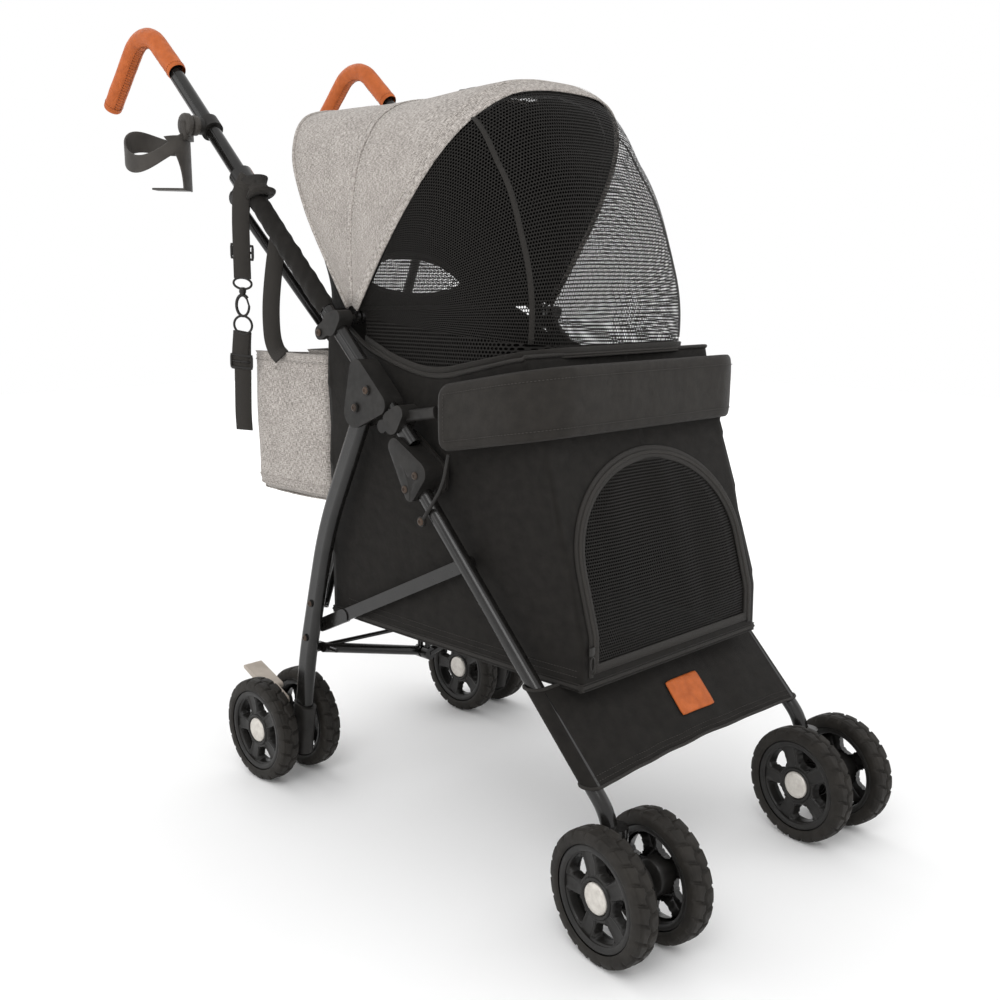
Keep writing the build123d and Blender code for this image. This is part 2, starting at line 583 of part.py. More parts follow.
# ---- build --------------------------------------------------------------------------------
def build():
    add_pair("handle_tube", handle_tube())
    add_pair("handle_grip", handle_grip())
    add_pair("leg_bracket", leg_bracket())
    add_pair("front_leg", front_leg())
    add_pair("latch_housing", latch_housing())
    add_pair("fold_lever", fold_lever())
    add_pair("bumper_clamp", bumper_clamp())
    add_pair("hood_hinge", hood_hinge())
    add_pair("rear_leg", rear_leg())
    add_pair("rear_axle_block", axle_block())
    add_pair("brake_pedal", brake_pedal())
    add_pair("side_strut", strut())
    for side, suffix in ((-1, "right"), (1, "left")):
        nodes["brace_yoke_" + suffix] = yoke(side)
        nodes["rear_brace_" + suffix] = brace(side)
        nodes["cross_link_" + suffix] = cross_link(side)
        nodes["caster_fork_" + suffix] = caster_fork(side)
        wheel_pair("front", suffix, caster_centre(side), CASTER_YAW, FRONT_OFFSET)
        wheel_pair("rear", suffix, (side * SIDE_X, *REAR_AXLE), 0, REAR_OFFSET)
    nodes["tub_shell"] = tub_shell()
    nodes["door_flap"] = door_flap()
    nodes["zip_slider"] = zip_slider()
    nodes["floor_pad"] = floor_pad()
    nodes["front_apron"] = front_apron()
    nodes["bumper_cover"] = bumper_cover()
    nodes["storage_bag"] = storage_bag()
    nodes["canopy_rear"] = hood_panel([(angle, HOOD_HALF, roof_radius(angle), 3)
                                       for angle in (54, 70, HOOD_SPLIT)])
    nodes["canopy_front"] = hood_panel([(HOOD_SPLIT + 0.6, HOOD_HALF, roof_radius(HOOD_SPLIT), 3),
                                        (106, HOOD_HALF, roof_radius(106), 3),
                                        (FRONT_BOW_ANGLE, HOOD_HALF, FRONT_BOW_R, 3)])
    nodes["hood_mesh"] = hood_panel([(FRONT_BOW_ANGLE + 0.6, HOOD_HALF, FRONT_BOW_R, 3),
                                     (142, HOOD_HALF - 4, 309, 3.2), (162, HOOD_HALF - 8, 296, 3.8),
                                     (185.5, HOOD_HALF - 10, 294, 4.6)])
    nodes["front_bow"] = bow(FRONT_BOW_ANGLE - 2, roof_radius(FRONT_BOW_ANGLE - 2) - 13, 5)
    nodes["rear_bow"] = bow(REAR_BOW_ANGLE + 3, roof_radius(REAR_BOW_ANGLE + 3) - 9, 12)
    strap, hook_at, ring_at = carry_strap()
    nodes["carry_strap"] = strap
    nodes["snap_hook"] = snap_hook(hook_at, ring_at)
    nodes["cup_clamp"] = cup_clamp()
    nodes["cup_holder"] = cup_holder()


def overall_box():
    boxes = [shape.bounding_box() for shape in nodes.values()]
    low = [min(getattr(b.min, a) for b in boxes) for a in "XYZ"]
    high = [max(getattr(b.max, a) for b in boxes) for a in "XYZ"]
    return low, high


build()
LOW, HIGH = overall_box()
SHIFT = Vector(-(LOW[0] + HIGH[0]) / 2, -(LOW[1] + HIGH[1]) / 2, -LOW[2])
os.makedirs("parts", exist_ok=True)
for name, shape in nodes.items():
    export_step(Pos(*SHIFT) * shape, "parts/" + name + ".step")
print("nodes", len(nodes), "size", [round(h - l, 1) for l, h in zip(LOW, HIGH)], "shift", SHIFT)
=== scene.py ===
import bpy
import json
import math
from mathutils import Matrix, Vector, noise


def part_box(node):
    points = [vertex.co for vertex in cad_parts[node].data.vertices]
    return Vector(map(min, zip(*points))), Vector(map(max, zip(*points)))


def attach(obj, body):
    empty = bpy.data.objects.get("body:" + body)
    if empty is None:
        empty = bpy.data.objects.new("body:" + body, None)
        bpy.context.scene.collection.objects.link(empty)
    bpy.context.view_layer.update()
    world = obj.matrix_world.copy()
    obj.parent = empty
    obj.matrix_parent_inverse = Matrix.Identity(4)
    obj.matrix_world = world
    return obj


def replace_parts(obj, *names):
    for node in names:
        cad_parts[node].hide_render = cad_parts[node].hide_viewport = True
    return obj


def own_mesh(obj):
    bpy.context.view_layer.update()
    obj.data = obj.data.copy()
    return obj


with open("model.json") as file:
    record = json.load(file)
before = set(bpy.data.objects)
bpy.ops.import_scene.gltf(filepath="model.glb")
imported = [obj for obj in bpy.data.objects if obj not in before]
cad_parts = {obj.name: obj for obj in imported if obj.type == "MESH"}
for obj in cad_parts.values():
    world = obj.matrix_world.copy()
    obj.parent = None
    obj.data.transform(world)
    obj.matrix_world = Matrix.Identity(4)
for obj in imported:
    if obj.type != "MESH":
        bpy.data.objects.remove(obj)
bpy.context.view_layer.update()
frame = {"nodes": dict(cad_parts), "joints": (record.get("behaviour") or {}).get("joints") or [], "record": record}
MM = 0.001

# ---- places worked out from the frame -----------------------------------------------------
# Lengths below are in millimetres from the plane of symmetry (x), 245 mm in front of the rear
# axle (y) and the floor (z); at() turns them into a point of the frame.
TUB_LOW, TUB_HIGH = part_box("tub_shell")
REAR_LOW, REAR_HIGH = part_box("rear_tyres_right")
MID_X = (TUB_LOW.x + TUB_HIGH.x) / 2
AXLE_Y = (REAR_LOW.y + REAR_HIGH.y) / 2
SIDE_X = (MID_X - (REAR_LOW.x + REAR_HIGH.x) / 2) / MM
TUB_HALF = (TUB_HIGH.x - TUB_LOW.x) / 2 / MM


def at(x, y, z):
    return Vector((MID_X + x * MM, AXLE_Y + (y - 245) * MM, z * MM))


# ---- material helpers ---------------------------------------------------------------------
def node(tree, kind, inputs=None, **settings):
    made = tree.nodes.new("ShaderNode" + kind)
    for key, value in settings.items():
        setattr(made, key, value)
    for key, value in (inputs or {}).items():
        if isinstance(value, bpy.types.NodeSocket):
            tree.links.new(value, made.inputs[key])
        else:
            made.inputs[key].default_value = value
    return made


def maths(tree, operation, a, b=0.0):
    return node(tree, "Math", {0: a, 1: b}, operation=operation).outputs[0]


def ramp(tree, factor, *stops):
    made = node(tree, "ValToRGB", {"Fac": factor})
    elements = made.color_ramp.elements
    while len(elements) < len(stops):
        elements.new(0.5)
    for element, (place, colour) in zip(elements, stops):
        element.position = place
        value = colour if isinstance(colour, tuple) else (colour,) * 3
        element.color = (*value, 1)
    return made.outputs["Color"]


def mix(tree, factor, a, b, blend="MIX"):
    made = node(tree, "Mix", data_type="RGBA", blend_type=blend)
    for key, value in ((0, factor), (6, a), (7, b)):
        if isinstance(value, bpy.types.NodeSocket):
            tree.links.new(value, made.inputs[key])
        else:
            made.inputs[key].default_value = (*value, 1) if isinstance(value, tuple) else value
    return made.outputs[2]


def speckle(tree, coord, scale, detail=3.0, stretch=None):
    if stretch:
        coord = node(tree, "Mapping", {"Vector": coord, "Scale": stretch}).outputs[0]
    return node(tree, "TexNoise", {"Vector": coord, "Scale": scale, "Detail": detail}).outputs["Fac"]


def bump(tree, height, strength, distance):
    return node(tree, "Bump", {"Height": height, "Strength": strength, "Distance": distance}).outputs[0]


def material(name, **shader):
    """A material with one Principled shader; returns it with its tree, shader and coordinates."""
    made = bpy.data.materials.new(name)
    made.use_nodes = True
    tree = made.node_tree
    bsdf = tree.nodes["Principled BSDF"]
    for key, value in shader.items():
        bsdf.inputs[key.replace("_", " ")].default_value = value
    coord = node(tree, "TexCoord")
    return made, tree, bsdf, coord


def link(tree, bsdf, **sockets):
    for key, value in sockets.items():
        tree.links.new(value, bsdf.inputs[key.replace("_", " ")])


# ---- materials ----------------------------------------------------------------------------
def painted_tube():
    made, tree, bsdf, coord = material("tube_paint", Coat_Weight=0.22, Coat_Roughness=0.16,
                                       Specular_IOR_Level=0.3)
    place = coord.outputs["Object"]
    wear = speckle(tree, place, 60, 6)
    link(tree, bsdf, Base_Color=ramp(tree, wear, (0.3, (0.006, 0.0056, 0.0053)),
                                     (0.75, (0.013, 0.0121, 0.0112))),
         Roughness=ramp(tree, speckle(tree, place, 240, 4), (0.3, 0.18), (0.8, 0.3)),
         Normal=bump(tree, speckle(tree, place, 1500, 2), 0.12, 0.0002))
    return made


def moulded(name, dark, light, low, high, grain=1400, depth=0.25, gloss=0.25):
    """Moulded plastic or rubber: a fine spark-eroded grain, soft colour drift and uneven gloss."""
    made, tree, bsdf, coord = material(name, Specular_IOR_Level=gloss)
    place = coord.outputs["Object"]
    cells = node(tree, "TexVoronoi", {"Vector": place, "Scale": grain}).outputs["Distance"]
    height = mix(tree, 0.5, cells, speckle(tree, place, grain * 0.6, 2))
    link(tree, bsdf, Base_Color=ramp(tree, speckle(tree, place, 45, 5), (0.3, dark), (0.72, light)),
         Roughness=ramp(tree, speckle(tree, place, 150, 4), (0.3, low), (0.75, high)),
         Normal=bump(tree, height, depth, 0.0002))
    return made


def leather(name, dark, light):
    made, tree, bsdf, coord = material(name, Specular_IOR_Level=0.25)
    place = coord.outputs["Object"]
    pores = node(tree, "TexVoronoi", {"Vector": place, "Scale": 900},
                 feature="DISTANCE_TO_EDGE").outputs["Distance"]
    creases = speckle(tree, place, 420, 6)
    height = mix(tree, 0.55, ramp(tree, pores, (0.0, 0.0), (0.12, 1.0)), creases)
    link(tree, bsdf, Base_Color=ramp(tree, speckle(tree, place, 90, 7), (0.28, dark), (0.74, light)),
         Roughness=ramp(tree, creases, (0.3, 0.42), (0.75, 0.66)),
         Normal=bump(tree, height, 0.35, 0.0004))
    return made


def threads(tree, uv, pitch):
    """Height of a plain weave from UVs in metres, and the two thread directions."""
    parts = node(tree, "SeparateXYZ", {0: uv})
    waves = []
    for axis in ("X", "Y"):
        turned = maths(tree, "MULTIPLY", parts.outputs[axis], math.pi / pitch)
        waves.append(maths(tree, "SINE", turned))
    over = maths(tree, "MULTIPLY", waves[0], waves[1])
    return maths(tree, "ABSOLUTE", over), waves


def woven(name, dark, light, pitch=0.0007, low=0.6, high=0.85, sheen=0.05):
    """Plain-woven cloth: threads from the UVs and fine creasing, with the colour painted darker in the crease
    hollows as painted shade, mixed with random tone.
    """
    made, tree, bsdf, coord = material(name, Sheen_Weight=sheen, Sheen_Roughness=0.4, Specular_IOR_Level=0.1)
    uv = coord.outputs["UV"]
    height, _ = threads(tree, uv, pitch)
    crease_and_painted_shade = speckle(tree, uv, 70, 5)
    rough = speckle(tree, uv, 700, 3)
    # painted shade: the base colour follows the crease height, darker in the hollows, mixed with random tone
    link(tree, bsdf, Base_Color=ramp(tree, mix(tree, 0.4, crease_and_painted_shade, rough), (0.32, dark), (0.7, light)),
         Roughness=ramp(tree, rough, (0.3, low), (0.75, high)))
    fine = bump(tree, height, 0.35, 0.0003)
    folds = node(tree, "Bump", {"Height": crease_and_painted_shade, "Strength": 0.35, "Distance": 0.002,
                                "Normal": fine}).outputs[0]
    link(tree, bsdf, Normal=folds)
    return made


def melange(name, dark, middle, light):
    """Warm grey cloth of light and dark fibres: slubs run both ways through a visible weave."""
    made, tree, bsdf, coord = material(name, Sheen_Weight=0.08, Sheen_Roughness=0.5, Specular_IOR_Level=0.15)
    uv = coord.outputs["UV"]
    along = speckle(tree, uv, 1, 4, (1500, 170, 1))
    across = speckle(tree, uv, 1, 4, (170, 1500, 1))
    drift = speckle(tree, uv, 22, 4)
    fibres = mix(tree, 0.5, along, across)
    shade = mix(tree, 0.07, fibres, drift)
    height, _ = threads(tree, uv, 0.0011)
    link(tree, bsdf, Base_Color=ramp(tree, shade, (0.42, dark), (0.5, middle), (0.58, light)),
         Roughness=ramp(tree, across, (0.3, 0.72), (0.7, 0.95)))
    fine = bump(tree, mix(tree, 0.5, height, along), 0.5, 0.0004)
    folds = node(tree, "Bump", {"Height": drift, "Strength": 0.3, "Distance": 0.003,
                                "Normal": fine}).outputs[0]
    link(tree, bsdf, Normal=folds)
    return made


def netting(name, pitch, wire, colour, tall=1.25):
    """Knitted net: rows of small holes, each row set off by half a hole."""
    made, tree, bsdf, coord = material(name, Roughness=0.6, Specular_IOR_Level=0.12)
    parts = node(tree, "SeparateXYZ", {0: coord.outputs["UV"]})
    row = maths(tree, "DIVIDE", parts.outputs["Y"], pitch * tall)
    odd = maths(tree, "MULTIPLY", maths(tree, "FLOORED_MODULO", maths(tree, "FLOOR", row), 2.0), 0.5)
    column = maths(tree, "ADD", maths(tree, "DIVIDE", parts.outputs["X"], pitch), odd)
    sides = []
    for value in (row, column):
        inside = maths(tree, "SUBTRACT", maths(tree, "FRACT", value), 0.5)
        sides.append(maths(tree, "POWER", maths(tree, "ABSOLUTE", inside), 2.0))
    reach = maths(tree, "SQRT", maths(tree, "ADD", sides[0], sides[1]))
    solid = maths(tree, "GREATER_THAN", reach, 0.5 - wire)
    shade = speckle(tree, coord.outputs["UV"], 300, 3)
    link(tree, bsdf, Alpha=solid,
         Base_Color=ramp(tree, shade, (0.3, tuple(c * 0.7 for c in colour)),
                         (0.7, tuple(c * 1.4 for c in colour))),
         Normal=bump(tree, reach, 0.4, 0.0006))
    return made


def ribbed(name, dark, light, pitch, direction="Y", depth=0.8, twill=0.0):
    """Webbing, binding tape or zip coil: ribs across the strip from the UVs, with the colour darker in the grooves
    and lighter on the ribs as painted shade and painted highlight.
    """
    made, tree, bsdf, coord = material(name, Specular_IOR_Level=0.15, Sheen_Weight=0.04)
    parts = node(tree, "SeparateXYZ", {0: coord.outputs["UV"]})
    other = "X" if direction == "Y" else "Y"
    slanted = maths(tree, "ADD", parts.outputs[direction],
                    maths(tree, "MULTIPLY", parts.outputs[other], twill))
    rib = maths(tree, "SINE", maths(tree, "MULTIPLY", slanted, 2 * math.pi / pitch))
    fleck = speckle(tree, coord.outputs["UV"], 900, 3)
    height = mix(tree, 0.3, maths(tree, "ABSOLUTE", rib), fleck)
    # painted shade and highlight: the base colour follows the rib height, dark in the grooves and light on top,
    # with random flecks
    link(tree, bsdf, Base_Color=ramp(tree, height, (0.15, dark), (0.85, light)),
         Roughness=ramp(tree, fleck, (0.3, 0.5), (0.7, 0.75)),
         Normal=bump(tree, height, depth, pitch * 0.4))
    return made


def cap_silver():
    made, tree, bsdf, coord = material("cap_silver", Metallic=0.35, Specular_IOR_Level=0.5)
    place = coord.outputs["Object"]
    link(tree, bsdf, Base_Color=ramp(tree, speckle(tree, place, 160, 5), (0.3, (0.52, 0.49, 0.45)),
                                     (0.7, (0.68, 0.65, 0.6))),
         Roughness=ramp(tree, speckle(tree, place, 500, 3), (0.3, 0.36), (0.75, 0.52)),
         Normal=bump(tree, speckle(tree, place, 1300, 2), 0.15, 0.0002))
    return made


TUBE = painted_tube()
PLASTIC = moulded("plastic_black", (0.011, 0.0102, 0.0094), (0.02, 0.0184, 0.0168), 0.42, 0.62)
GLOSS = moulded("plastic_gloss", (0.014, 0.013, 0.012), (0.024, 0.022, 0.02), 0.26, 0.4, 700, 0.08)
HOLDER = moulded("holder_plastic", (0.038, 0.034, 0.03), (0.06, 0.054, 0.048), 0.45, 0.6, 1800, 0.12)
PEDAL = moulded("pedal_grey", (0.4, 0.35, 0.3), (0.52, 0.46, 0.4), 0.45, 0.65)
TYRE = moulded("tyre_rubber", (0.013, 0.0115, 0.0098), (0.024, 0.0212, 0.018), 0.5, 0.72, 1100, 0.35, 0.2)
RIM = moulded("rim_plastic", (0.009, 0.0085, 0.008), (0.017, 0.0158, 0.0145), 0.32, 0.5, 1600, 0.12, 0.3)
BOLT = moulded("bolt_brown", (0.03, 0.02, 0.014), (0.07, 0.042, 0.026), 0.3, 0.45, 2200, 0.1)
CAP = cap_silver()
LEATHER = leather("leather_tan", (0.36, 0.079, 0.013), (0.5, 0.118, 0.024))
THREAD = ribbed("stitch_thread", (0.2, 0.045, 0.012), (0.3, 0.08, 0.025), 0.0012)
PALE_THREAD = ribbed("stitch_pale", (0.5, 0.46, 0.42), (0.72, 0.68, 0.63), 0.0012)
DARK_THREAD = ribbed("stitch_dark", (0.03, 0.028, 0.025), (0.07, 0.064, 0.058), 0.0012)
NYLON = woven("nylon_black", (0.009, 0.0081, 0.0073), (0.017, 0.0153, 0.0136))
BAND = woven("nylon_band", (0.018, 0.0163, 0.0146), (0.03, 0.027, 0.024), 0.0008, 0.6, 0.85, 0.12)
LINING = woven("lining_black", (0.006, 0.0055, 0.005), (0.011, 0.0099, 0.009), 0.0006)
GREY = melange("melange_grey", (0.14, 0.126, 0.113), (0.33, 0.301, 0.277), (0.56, 0.522, 0.487))
NET = netting("net_black", 0.0034, 0.135, (0.012, 0.011, 0.01))
DOOR_NET = netting("net_door", 0.0034, 0.15, (0.012, 0.011, 0.01), 1.0)
WEBBING = ribbed("webbing_black", (0.012, 0.011, 0.01), (0.05, 0.045, 0.04), 0.0022, "Y", 0.9, 0.25)
BINDING = ribbed("binding_black", (0.014, 0.0125, 0.011), (0.034, 0.031, 0.028), 0.0012)
COIL = ribbed("zip_coil", (0.01, 0.009, 0.008), (0.055, 0.05, 0.045), 0.0016, "Y", 1.0)


# ---- mesh helpers -------------------------------------------------------------------------
def mesh_object(name, verts, faces, surface, uvs=None, smooth=True):
    data = bpy.data.meshes.new(name)
    data.from_pydata([tuple(v) for v in verts], [], faces)
    if uvs:
        layer = data.uv_layers.new(name="UVMap")
        for loop in data.loops:
            layer.data[loop.index].uv = uvs[loop.vertex_index]
    data.polygons.foreach_set("use_smooth", [smooth] * len(data.polygons))
    data.materials.append(surface)
    data.update()
    made = bpy.data.objects.new(name, data)
    bpy.context.scene.collection.objects.link(made)
    return made


def grid(name, func, columns, rows, surface, wrap=False, skip=None):
    """Surface through func(u, v), u and v from 0 to 1, with UVs in metres along its own lines."""
    count = columns if wrap else columns + 1
    points = [[func(i / columns, j / rows) for i in range(count)] for j in range(rows + 1)]
    middle, half = points[(rows + 1) // 2], count // 2
    across, along = [0.0], [0.0]
    for i in range(1, count):
        across.append(across[-1] + (middle[i] - middle[i - 1]).length)
    for j in range(1, rows + 1):
        along.append(along[-1] + (points[j][half] - points[j - 1][half]).length)
    verts = [p for line in points for p in line]
    uvs = [(across[i], along[j]) for j in range(rows + 1) for i in range(count)]
    faces = []
    for j in range(rows):
        for i in range(columns):
            k = (i + 1) % count
            face = (j * count + i, j * count + k, (j + 1) * count + k, (j + 1) * count + i)
            if not skip or not skip(sum((verts[n] for n in face), Vector()) / 4):
                faces.append(face)
    return mesh_object(name, verts, faces, surface, uvs)


def modified(obj, kind, **settings):
    made = obj.modifiers.new(kind.lower(), kind)
    for key, value in settings.items():
        setattr(made, key, value)
    return obj


def baked(obj):
    """The object with its modifiers applied, so that it keeps plain vertices."""
    graph = bpy.context.evaluated_depsgraph_get()
    data = bpy.data.meshes.new_from_object(obj.evaluated_get(graph))
    obj.modifiers.clear()
    obj.data = data
    return obj


def solid_sheet(obj, thickness, offset=0.0):
    return baked(modified(obj, "SOLIDIFY", thickness=thickness * MM, offset=offset))


def resample(points, step):
    """Points along a polyline at even steps."""
    lengths = [0.0]
    for a, b in zip(points, points[1:]):
        lengths.append(lengths[-1] + (b - a).length)
    count = max(2, round(lengths[-1] / step))
    out, i = [], 0
    for k in range(count + 1):
        target = lengths[-1] * k / count
        while i < len(points) - 2 and lengths[i + 1] < target:
            i += 1
        span = max(lengths[i + 1] - lengths[i], 1e-9)
        out.append(points[i].lerp(points[i + 1], min(1, (target - lengths[i]) / span)))
    return out


def smooth_path(points, per=8):
    """Catmull-Rom curve through the points."""
    ends = [points[0] * 2 - points[1], *points, points[-1] * 2 - points[-2]]
    out = []
    for a, b, c, d in zip(ends, ends[1:], ends[2:], ends[3:]):
        for k in range(per):
            t = k / per
            out.append(0.5 * (2 * b + (c - a) * t + (2 * a - 5 * b + 4 * c - d) * t ** 2
                              + (3 * b - a - 3 * c + d) * t ** 3))
    return [*out, points[-1]]


def sweep(name, path, profile, surface, up=Vector((0, 0, 1)), closed=False, scale=None):
    """Solid strip: a closed profile of (across, up) pairs in mm carried along a path.
    up is one vector or a list with one for each point."""
    count, around = len(path), len(profile)
    verts, uvs, run = [], [], 0.0
    girth = [0.0]
    for a, b in zip(profile, profile[1:]):
        girth.append(girth[-1] + math.dist(a, b) * MM)
    for i, point in enumerate(path):
        ahead = path[(i + 1) % count] if closed else path[min(i + 1, count - 1)]
        behind = path[i - 1] if closed else path[max(i - 1, 0)]
        tangent = (ahead - behind).normalized()
        upward = up[i] if isinstance(up, list) else up
        across = tangent.cross(upward).normalized()
        upward = across.cross(tangent)
        size = scale(i / (count - 1)) if scale else 1.0
        run += (point - path[max(i - 1, 0)]).length
        for (a, b), g in zip(profile, girth):
            verts.append(point + (across * a + upward * b) * MM * size)
            uvs.append((g, run))
    faces = []
    for i in range(count if closed else count - 1):
        for j in range(around):
            a, b, k = i * around, ((i + 1) % count) * around, (j + 1) % around
            faces.append((a + j, a + k, b + k, b + j))
    if not closed:
        faces += [tuple(reversed(range(around))), tuple(range(len(verts) - around, len(verts)))]
    return mesh_object(name, verts, faces, surface, uvs)


def circle(radius, sides=12, squeeze=1.0):
    turn = 2 * math.pi / sides
    return [(radius * math.cos(turn * i), radius * squeeze * math.sin(turn * i)) for i in range(sides)]


def tape(width, thick):
    """Flat strip profile with soft edges."""
    w, t = width / 2, thick / 2
    return [(-w, 0), (-w + t * 0.6, -t), (w - t * 0.6, -t), (w, 0), (w - t * 0.6, t), (-w + t * 0.6, t)]


def stitches(name, path, length, gap, radius, surface):
    """Row of thread stitches along a path, one small rounded bar each."""
    verts, faces, uvs = [], [], []
    marks = resample(path, (length + gap) * MM)
    for a, b in zip(marks, marks[1:]):
        tangent = (b - a).normalized()
        side = tangent.orthogonal().normalized()
        other = tangent.cross(side)
        end = a + tangent * length * MM
        base = len(verts)
        for place, size in ((a, 0.35), (a.lerp(end, 0.25), 1), (a.lerp(end, 0.75), 1), (end, 0.35)):
            for k in range(6):
                c, s = math.cos(k * math.pi / 3), math.sin(k * math.pi / 3)
                verts.append(place + (side * c + other * s) * radius * size * MM)
                uvs.append((k * 0.0005, (place - a).length))
        for ring in range(3):
            for k in range(6):
                n = base + ring * 6
                faces.append((n + k, n + (k + 1) % 6, n + 6 + (k + 1) % 6, n + 6 + k))
        faces += [tuple(base + k for k in reversed(range(6))), tuple(base + 18 + k for k in range(6))]
    return mesh_object(name, verts, faces, surface, uvs)


def joined(name, parts):
    """One object from several, keeping each one's material."""
    verts, faces, uvs, slots, smooth, materials = [], [], [], [], [], []
    for part in parts:
        base = len(verts)
        for surface in part.data.materials:
            if surface not in materials:
                materials.append(surface)
        verts += [part.matrix_world @ v.co for v in part.data.vertices]
        layer = part.data.uv_layers.active
        for face in part.data.polygons:
            faces.append(tuple(base + n for n in face.vertices))
            slots.append(materials.index(part.data.materials[face.material_index]))
            smooth.append(face.use_smooth)
            for loop in face.loop_indices:
                uvs.append(tuple(layer.data[loop].uv) if layer else (0, 0))
    data = bpy.data.meshes.new(name)
    data.from_pydata([tuple(v) for v in verts], [], faces)
    layer = data.uv_layers.new(name="UVMap")
    for loop, uv in zip(layer.data, uvs):
        loop.uv = uv
    for surface in materials:
        data.materials.append(surface)
    data.polygons.foreach_set("material_index", slots)
    data.polygons.foreach_set("use_smooth", smooth)
    data.update()
    for part in parts:
        bpy.data.objects.remove(part)
    made = bpy.data.objects.new(name, data)
    bpy.context.scene.collection.objects.link(made)
    return made


def finish_soft(obj, body, slot, *replaced):
    """Rides on its body, hides the CAD parts it replaces and takes a mesh of its own."""
    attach(obj, body)
    if replaced:
        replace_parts(obj, *replaced)
    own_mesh(obj)
    return obj


def sewn(name, line, step=2.6, gap=1.6, radius=0.4):
    """A row of dark stitches on the black cloth of the carriage."""
    finish_soft(stitches(name, line, step, gap, radius, DARK_THREAD), "carriage", "cloth_black")


def wrinkle(p, scale, seed=0.0):
    """Smooth noise from -1 to 1 at a point in millimetres."""
    return noise.noise(Vector(p) / scale + Vector((seed, seed * 1.7, -seed)))


def piecewise(points, value):
    """Height of a polyline of (x, y) points at x = value."""
    for (x0, y0), (x1, y1) in zip(points, points[1:]):
        if value <= x1:
            return y0 + (y1 - y0) * max(0, (value - x0) / (x1 - x0))
    return points[-1][1]


# ---- hood ---------------------------------------------------------------------------------
HINGE = (89, 636)
ROOF_RISE, REAR_BOW_R, FRONT_BOW_R = 275, 350, 324
HOOD_HALF = 176
REAR_ANGLE, SPLIT_ANGLE, FRONT_ANGLE = 53.5, 88, 126
NET_ROWS = [(126.8, 176, 323, 3), (142, 172, 308, 3.2), (162, 168, 295, 3.8), (185.5, 166, 293, 4.6)]


def roof_radius(angle):
    """A taut sheet between two bows, as a distance from the hood pivots."""
    flat = ROOF_RISE / math.sin(math.radians(angle))
    return min(flat, REAR_BOW_R if angle < 90 else FRONT_BOW_R)


def fan(angle, t, half, radius, power, lift=0.0):
    """Point of the hood: t runs from the right pivot (0) over the top to the left one (1)."""
    c, s = math.cos(math.pi * t), math.sin(math.pi * t)
    x = -(half + lift) * math.copysign(abs(c) ** (2 / power), c)
    reach = 14 + (radius - 14 + lift) * abs(s) ** (2 / power)
    a = math.radians(angle)
    return Vector((x, HINGE[0] + reach * math.cos(a), HINGE[1] + reach * math.sin(a)))


def roof(angle, t, lift=0.0):
    """The canopy: taut over the bows, with a soft hollow between them and a few long puckers."""
    share = (angle - REAR_ANGLE) / (FRONT_ANGLE - REAR_ANGLE)
    hollow = 5 * math.sin(math.pi * min(1, max(0, share))) ** 2 * math.sin(math.pi * t)
    p = fan(angle, t, HOOD_HALF, roof_radius(angle) - hollow, 3, lift)
    pucker = wrinkle((t * 900, angle * 1.3, 0), 70, 3) * 1.6 + wrinkle((t * 400, angle * 5, 0), 60, 8) * 1.2
    out = Vector((p.x * 0.6, p.y - HINGE[0], p.z - HINGE[1])).normalized()
    return at(*(p + out * (pucker - 1.5)))


def net_shape(angle, t, lift=0.0):
    """The net panel, between its rows of (angle, half width, radius, corner power)."""
    for low, high in zip(NET_ROWS, NET_ROWS[1:]):
        if angle <= high[0]:
            break
    share = (angle - low[0]) / (high[0] - low[0])
    share = share * share * (3 - 2 * share)
    row = [a + (b - a) * share for a, b in zip(low[1:], high[1:])]
    p = fan(angle, t, *row, lift)
    drift = wrinkle((p.x, p.y, p.z), 85, 5) * 2.2
    out = Vector((p.x * 0.5, p.y - HINGE[0], p.z - HINGE[1])).normalized()
    return at(*(p + out * (drift - 1.5)))


def spread(u):
    """Evens out the steps of the arch parameter, which bunch up at the pivots."""
    return u - 0.03 * math.sin(2 * math.pi * u)


PEEK_X, PEEK_Y = 6, 10
PEEK_WIDE, PEEK_DEEP = 64, 24


def peek_hole(point):
    """Whether a point of the roof lies in the oval window behind the front bow."""
    x, z = (point.x - at(0, 0, 0).x) / MM, point.z / MM
    y = (point.y - at(0, 0, 0).y) / MM
    across, along = (x - PEEK_X) / (PEEK_WIDE - 2), (y - PEEK_Y) / (PEEK_DEEP - 2)
    return z > 860 and across ** 2 + along ** 2 < 1


def arch_path(func, angle, lift, count=160):
    return [func(angle, spread(i / count), lift) for i in range(count + 1)]


def outward(path):
    """Direction away from the middle of the hood at each point of a path."""
    centre = at(0, HINGE[0], HINGE[1])
    return [Vector(((p.x - centre.x) * 0.8, p.y - centre.y, p.z - centre.z)).normalized() for p in path]


